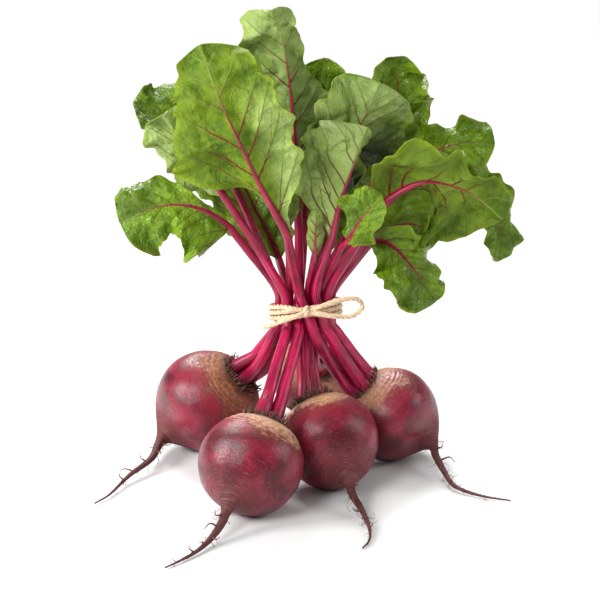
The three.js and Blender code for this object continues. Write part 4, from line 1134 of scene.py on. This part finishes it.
class Blade:
    """A leaf blade's fine surface, at any share along its midrib and t from -1 to 1 across it"""

    def __init__(self, name):
        self.one = LEAVES[name]
        self.line = LeafLine(name, steps_each=30)
        self.number = leaf_names.index(name)
        self.length = self.line.blade
        self.spacing = max(7, VEIN_SPACING * self.length)
        self.small = max(self.one["half"]) < 10
        known = np.linspace(0, 1, 241)
        centres, ups, sides = self.line.frames(self.line.blade_from + known * self.length)
        self.known, self.table = known, np.hstack([centres, ups, sides])

    def frame(self, share):
        row = np.stack([np.interp(share, self.known, column) for column in self.table.T], -1)
        return row[..., :3], unit(row[..., 3:6]), unit(row[..., 6:])

    def half(self, side, share):
        """Half width with a toothed margin and a rounded tip"""
        along = share * self.length
        spot = grid_of(along + 31 * side, 17.3 * self.number)
        half = half_width(self.one, side, share)
        scallops = 1.1 - 3.0 * np.abs(noise(spot, 6.5, 12))
        teeth = 1.5 * noise(spot, 3.4, 11) + scallops + 2.2 * noise(spot, 16, 13)
        tip = np.sqrt(np.maximum(0.02, 1 - np.clip((share - 0.93) / 0.07, 0, 1) ** 2))
        return np.maximum(0.8, half + teeth * np.minimum(1, half / 16)) * tip

    def counted(self, side, s, d):
        """The count of side veins at a point s along and d across: whole numbers lie on a vein"""
        start = s - VEIN_SLANT * d - VEIN_BEND * d * d
        even = start / self.spacing + 0.5 * side
        return even + 0.22 * np.sin(1.9 * even + self.one["phase"] + side)

    def lift(self, share, d):
        one = self.one
        rib = np.where(share < MIDRIB_END, midrib_radius(one, share), STEM_RADIUS["end"])
        usual = rib * MIDRIB_SEAT + MIDRIB_GAP + BLADE_THICKNESS / 2
        touching = fine_midrib_radius(one, share) * 0.55
        return usual + (touching - usual) * np.exp(-((d / 7) ** 2))

    def points(self, share, t):
        """Points of the middle surface, and the values there for the material"""
        share, t = np.broadcast_arrays(np.asarray(share, float), np.asarray(t, float))
        side = (t > 0).astype(int)
        both = [self.half(k, share) for k in (0, 1)]
        half = np.where(side, both[1], both[0])
        size = np.abs(t)
        d = size * half
        s = share * self.length
        out, rise = (
            np.where(side, right, left)
            for left, right in zip(*(blade_offsets(self.one, k, share, size, both[k]) for k in (0, 1)))
        )
        vein = np.where(side, self.counted(1, s, d), self.counted(0, s, d))
        off_vein = 2 * np.abs(vein - np.round(vein))
        inside = smooth_step(0, 7, d) * (1 - 0.6 * size**3)
        scale = 0.5 if self.small else 1
        crumpled = self.one["crumpled"]
        swell = 1.2 * scale * inside * (1 - (1 - off_vein) ** 2)
        flat = np.stack([s + 7 * self.number, np.sign(t) * d], -1)
        bent = flat + 2.5 * np.stack([noise(flat, 8, 24), noise(flat, 8, 25)], -1)
        pucker = 1 - 1.6 * np.abs(noise(bent, 9, self.number)) - 0.7 * np.abs(noise(bent, 4.6, 26))
        swell = swell + 2.2 * crumpled * scale * inside * pucker
        spot = grid_of(s, np.sign(t) * 40 + 13.7 * self.number)
        crisp = 7.5 * noise(spot, 9.5, 21) + 3.0 * noise(spot, 4.6, 22)
        full = np.minimum(1, half / 12)
        swell = swell + (0.4 + 0.6 * crumpled) * scale * crisp * size**2.6 * full
        swell = swell + 5.5 * crumpled * scale * noise(flat, 15, 23) * np.minimum(1, d / 12)
        centre, up, across = self.frame(share)
        height = self.lift(share, d) + rise + swell
        points = centre + across * (np.sign(t) * out)[..., None] + up * height[..., None]
        rib = d - fine_midrib_radius(self.one, share) * 0.85
        tip = smooth_step(0.6, 0.9, share)
        low_half = (t < 0) * (1 - smooth_step(0.5, 0.8, share))
        # Painted shade: the lower part of one half is darkened where it sits in shadow in the heart of the bunch
        shaded = self.one["shaded"] * low_half * smooth_step(0.0, 0.25, size)
        # Painted sheen: the lower part of one half is made paler and greyer, standing in for the gloss of light on
        # it
        warm = self.one["warm"] * (1 - self.one["pale"] * low_half * smooth_step(0.1, 0.7, size))
        flat = grid_of(s, np.sign(t) * d, 41 * self.number)
        values = {
            "vein": vein, "rim": size, "rib": rib, "tip": tip, "shaded": shaded, "warm": warm, "flat": flat,
        }
        return points, values, up

    def sheet(self, surface, rows, columns):
        """Both faces of the blade, joined along the margin"""
        share = np.linspace(0, 1, rows)
        share = (share + 0.03 * np.sin(2 * math.pi * share))[:, None]
        u = np.linspace(-1, 1, columns)
        t = np.sign(u) * (1 - (1 - np.abs(u)) ** 1.2)
        t[columns // 2] = 1e-4
        middle, values, up = self.points(share, t[None, :])
        normal = unit(np.cross(np.gradient(middle, axis=1), np.gradient(middle, axis=0)))
        normal = np.where(dot(normal, up) < 0, -normal, normal)
        layers = [middle + normal * k * FINE_BLADE_THICKNESS / 2 for k in (1, -1)]
        values = {key: np.concatenate([v.reshape(rows * columns, -1)] * 2) for key, v in values.items()}
        values["upper"] = np.repeat([1.0, 0.0], rows * columns)
        count = rows * columns
        edge = np.concatenate([
            np.arange(columns), np.arange(2, rows + 1) * columns - 1,
            np.arange(count - 2, count - columns - 1, -1), np.arange(rows - 2, 0, -1) * columns,
        ])
        after = np.roll(edge, -1)
        rim = np.stack([edge, after, after + count, edge + count], -1).tolist()
        across = np.cross(middle[0, 1] - middle[0, 0], middle[1, 0] - middle[0, 0])
        flip = bool(np.dot(across, normal[0, 0]) < 0)
        faces = grid_faces(rows, columns, flip=flip) + grid_faces(rows, columns, flip=not flip, first=count)
        faces += [face if flip else face[::-1] for face in rim]
        surface.add(np.concatenate([layer.reshape(-1, 3) for layer in layers]), faces, **values)

    def vein_tube(self, surface, side, start_s, start_d, slant, bend, end_t, radii):
        """A side vein that stands out on the underside, from a point of the blade towards the margin"""
        d = start_d + np.linspace(0, 1, VEIN_RINGS) * self.one["half"][side] * 1.1
        gone = d - start_d
        share = (start_s + slant * gone + bend * gone**2) / self.length
        size = d / self.half(side, np.clip(share, 0, 1))
        keep = (size < end_t) & (share < 0.975) & (share > 0.0)
        last = int(np.argmin(keep)) if not keep.all() else len(d)
        if last < 5:
            return
        share, t = share[:last], size[:last] * (1 if side else -1)
        middle, values, up = self.points(share, t)
        ahead, _, _ = self.points(share + 0.004, t)
        beside, _, _ = self.points(share, t + 0.01)
        normal = unit(np.cross(ahead - middle, beside - middle))
        normal = np.where(dot(normal, up) < 0, -normal, normal)
        k = np.linspace(0, 1, last)
        radius = radii[0] + (radii[1] - radii[0]) * k
        centre = middle - normal * (FINE_BLADE_THICKNESS / 2 + radius * 0.25)[:, None]
        directions = unit(np.gradient(centre, axis=0))
        across = unit(np.cross(directions, normal))
        rings, _, _ = rings_round(centre, across, np.cross(directions, across), radius, VEIN_SIDES)
        values = {key: np.repeat(v.reshape(last, -1), VEIN_SIDES, axis=0) for key, v in values.items()}
        surface.tube(rings, ridge=1.0, upper=0.0, **values)

    def veins(self, surface):
        for side in (0, 1):
            starts = np.linspace(0.01, 0.84, 400) * self.length
            count = self.counted(side, starts, 0 * starts)
            for whole in range(math.ceil(count[0]), math.floor(count[-1]) + 1):
                s = float(np.interp(whole, count, starts))
                share = s / self.length
                thick = max(0.32, 0.3 * float(fine_midrib_radius(self.one, share)))
                self.vein_tube(surface, side, s, 0.4, VEIN_SLANT, VEIN_BEND, 0.93, (thick, 0.12))
                half = float(self.half(side, np.array(share)))
                for at, slant in SMALL_VEINS:
                    d = at * half
                    along = s + VEIN_SLANT * d + VEIN_BEND * d * d
                    self.vein_tube(surface, side, along, d, slant, 0.004, 0.95, (thick * 0.42, 0.1))


def blade_piece(name, material):
    blade = Blade(name)
    surface = Surface()
    fine = blade.one["fine"]
    blade.sheet(surface, int(BLADE_ROWS * fine), int(BLADE_COLUMNS * fine) // 2 * 2 + 1)
    blade.veins(surface)
    return surface.piece(f"leaf_{name}", "leaf", material, f"blade_{name}")


# Twine
def by_tie(right, forward, up):
    """A point by the tie given as millimetres to the right, forward and up from its middle"""
    return in_tie(math.hypot(right, forward), math.atan2(-forward, right), up + TWINE_RISE * right)


def twine_lines():
    """The lines that the cord follows: its turns, the knot, the loop and the loose end"""
    turn = np.linspace(0, TWINE_TURNS, TWINE_TURNS * 16 + 1)
    from_end = np.minimum(turn, TWINE_TURNS - turn)
    over = np.maximum(0, 1 - from_end / 0.16) ** 2
    angle = math.radians(KNOT_ANGLE) + 2 * math.pi * turn
    radius = BUNDLE_RADIUS + TWINE_CLEAR + TWINE_RADIUS * (1 + 2.2 * over)
    height = (turn - TWINE_TURNS / 2) * TWINE_PITCH * (1 - over) + TWINE_RISE * radius * np.cos(angle)
    right, forward, up = KNOT
    knot = []
    for share in np.linspace(0, 1, 8):
        at = math.radians(320 * share - 70)
        knot.append(by_tie(right + 1.5 * share - 0.7, forward + 2.6 * math.cos(at), up + 2.6 * math.sin(at)))
    loop = [by_tie(*point) for point in LOOP]
    loose = [by_tie(*point) for point in LOOSE_END]
    return {"turns": in_tie(radius, angle, height), "knot": knot, "loop": loop, "loose": loose}


def twine_piece(material, rng):
    surface = Surface()
    strand = TWINE_RADIUS / (1 + 2 / math.sqrt(3))
    for kind, points in twine_lines().items():
        path = Path(points, 12)
        s = np.linspace(0, path.total, max(8, int(path.total / 0.62)))
        directions = path.direction(s)
        u = carried(np.array([0.3, 0.2, 1.0]), directions)
        v = np.cross(directions, u)
        centre = path.at(s)
        splay = 1 + (0.9 * smooth_step(path.total - 5, path.total, s) if kind == "loose" else 0 * s)
        for k in range(STRANDS):
            turn = 2 * math.pi * (s / STRAND_LAY + k / STRANDS)
            wave = 1 + 0.06 * noise(grid_of(s, 9 * k), 3, 31)
            away = strand * STRAND_SPREAD * splay * wave
            line = centre + (u * np.cos(turn)[:, None] + v * np.sin(turn)[:, None]) * away[:, None]
            along = unit(np.gradient(line, axis=0))
            side = carried(u[0], along)
            rings, out, angle = rings_round(line, side, np.cross(along, side), strand, STRAND_SIDES)
            rings = rings + out * (0.09 * noise(rings, 0.8, 32))[..., None]
            spin = angle[None, :] + 1.3 * turn[:, None]
            surface.tube(rings, place=unrolled(1, spin, s[:, None], 15 * k))
        for _ in range(int(path.total * FIBRES_EACH_MM)):
            at = path.total * rng.random()
            direction = path.direction(at)
            out = square_to(rng.normal(0, 1, 3), direction)
            foot = path.at(at) + out * TWINE_RADIUS * 0.85
            reach = rng.uniform(0.8, 2.8)
            middle = foot + (out * 0.45 + direction * rng.uniform(-0.8, 0.8)) * reach * 0.5
            tip = middle + (out * 0.5 + direction * rng.uniform(-0.8, 0.8)) * reach * 0.5
            thin_tube(surface, [foot, middle, tip], (0.075, 0.045), 3, 2, place=foot)
    return surface.piece("twine_strands", "twine", material, "twine")


# The studio: pale floor and surroundings, a broad sun from behind, and soft lights from the left and the right
HORIZON_LIGHT = 0.10
ZENITH_LIGHT = 0.54
FLOOR_WHITE = 0.75
FLOOR_REACH = 30
LAMPS = [
    ("overhead", "SUN", (-0.15, 0.68, 0.88), {"energy": 3.9, "angle": math.radians(32)}),
    ("key", "AREA", (-0.62, -0.85, 0.8), {"energy": 10.5, "size": 0.5}),
    ("left", "AREA", (-0.95, -0.3, 0.55), {"energy": 10.5, "size": 0.35}),
    ("right", "AREA", (0.95, -0.1, 0.5), {"energy": 3.4, "size": 0.4}),
]
LAMPS_FACE = Vector((0, 0, 0.12))


def studio():
    floor = Material("floor")
    floor.set(Base_Color=(FLOOR_WHITE, FLOOR_WHITE, FLOOR_WHITE, 1), Roughness=1.0, Specular_IOR_Level=0.0)
    mesh = bpy.data.meshes.new("floor")
    corners = [(x * FLOOR_REACH, y * FLOOR_REACH, 0) for x, y in ((-1, -1), (1, -1), (1, 1), (-1, 1))]
    mesh.from_pydata(corners, [], [(0, 1, 2, 3)])
    mesh.materials.append(floor.material)
    plane = bpy.data.objects.new("floor", mesh)
    bpy.context.scene.collection.objects.link(plane)
    plane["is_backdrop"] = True
    bpy.context.scene.world = overhead_light()
    bpy.context.scene.view_settings.view_transform = "Standard"
    for name, kind, place, settings in LAMPS:
        lamp(name, kind, place, settings)


def overhead_light():
    """White surroundings that are bright overhead and dim towards the horizon"""
    world = bpy.data.worlds.new("white")
    world.use_nodes = True
    tree = world.node_tree
    direction = tree.nodes.new("ShaderNodeTexCoord").outputs["Generated"]
    parts = tree.nodes.new("ShaderNodeSeparateXYZ")
    strength = tree.nodes.new("ShaderNodeMapRange")
    tree.links.new(direction, parts.inputs[0])
    tree.links.new(parts.outputs["Z"], strength.inputs["Value"])
    strength.inputs["To Min"].default_value = HORIZON_LIGHT
    strength.inputs["To Max"].default_value = ZENITH_LIGHT
    background = tree.nodes["Background"]
    background.inputs["Color"].default_value = (1, 1, 1, 1)
    tree.links.new(strength.outputs[0], background.inputs["Strength"])
    return world


def lamp(name, kind, place, settings):
    data = bpy.data.lights.new(name, kind)
    for key, value in settings.items():
        setattr(data, key, value)
    made = bpy.data.objects.new(name, data)
    made.location = place
    made.rotation_euler = (LAMPS_FACE - made.location).to_track_quat("-Z", "Y").to_euler()
    bpy.context.scene.collection.objects.link(made)


# The camera stands in front, a little above the bunch
CAMERA_TARGET = np.array([-1, 0, 111])
CAMERA_DISTANCE = 1100
CAMERA_ELEVATION = math.radians(17)
CAMERA_LENS = 101.5
CAMERA_SENSOR = 36


def camera():
    data = bpy.data.cameras.new("camera")
    data.lens = CAMERA_LENS
    data.sensor_width = CAMERA_SENSOR
    made = bpy.data.objects.new("camera", data)
    back = np.array([0, -math.cos(CAMERA_ELEVATION), math.sin(CAMERA_ELEVATION)])
    target = Vector((CAMERA_TARGET + SHIFT) * MM)
    made.location = target + Vector(back * CAMERA_DISTANCE * MM)
    made.rotation_euler = (target - made.location).to_track_quat("-Z", "Y").to_euler()
    bpy.context.scene.collection.objects.link(made)
    bpy.context.scene.camera = made


# Gloss of the two leaf materials, and how yellow a leaf is that has the matt one
GLOSSY_LEAF = 0.32
MATT_LEAF = 0.12
MATT_FROM = 0.8

camera()
studio()
skin, hair, stalk, jute = skin_material(), hair_material(), stalk_material(), twine_material()
glossy_leaf = leaf_material("beetroot_leaf", GLOSSY_LEAF)
matt_leaf = leaf_material("beetroot_leaf_matt", MATT_LEAF)
rng = np.random.default_rng(7)
for root_name in ROOTS:
    root_piece(root_name, skin)
    hairs_piece(root_name, hair, rng)
for leaf_name in leaf_names:
    stalk_piece(leaf_name, stalk)
    blade_piece(leaf_name, matt_leaf if LEAVES[leaf_name]["warm"] > MATT_FROM else glossy_leaf)
twine_piece(jute, rng)

boxes = {"cad": cad_box, "visual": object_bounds()}
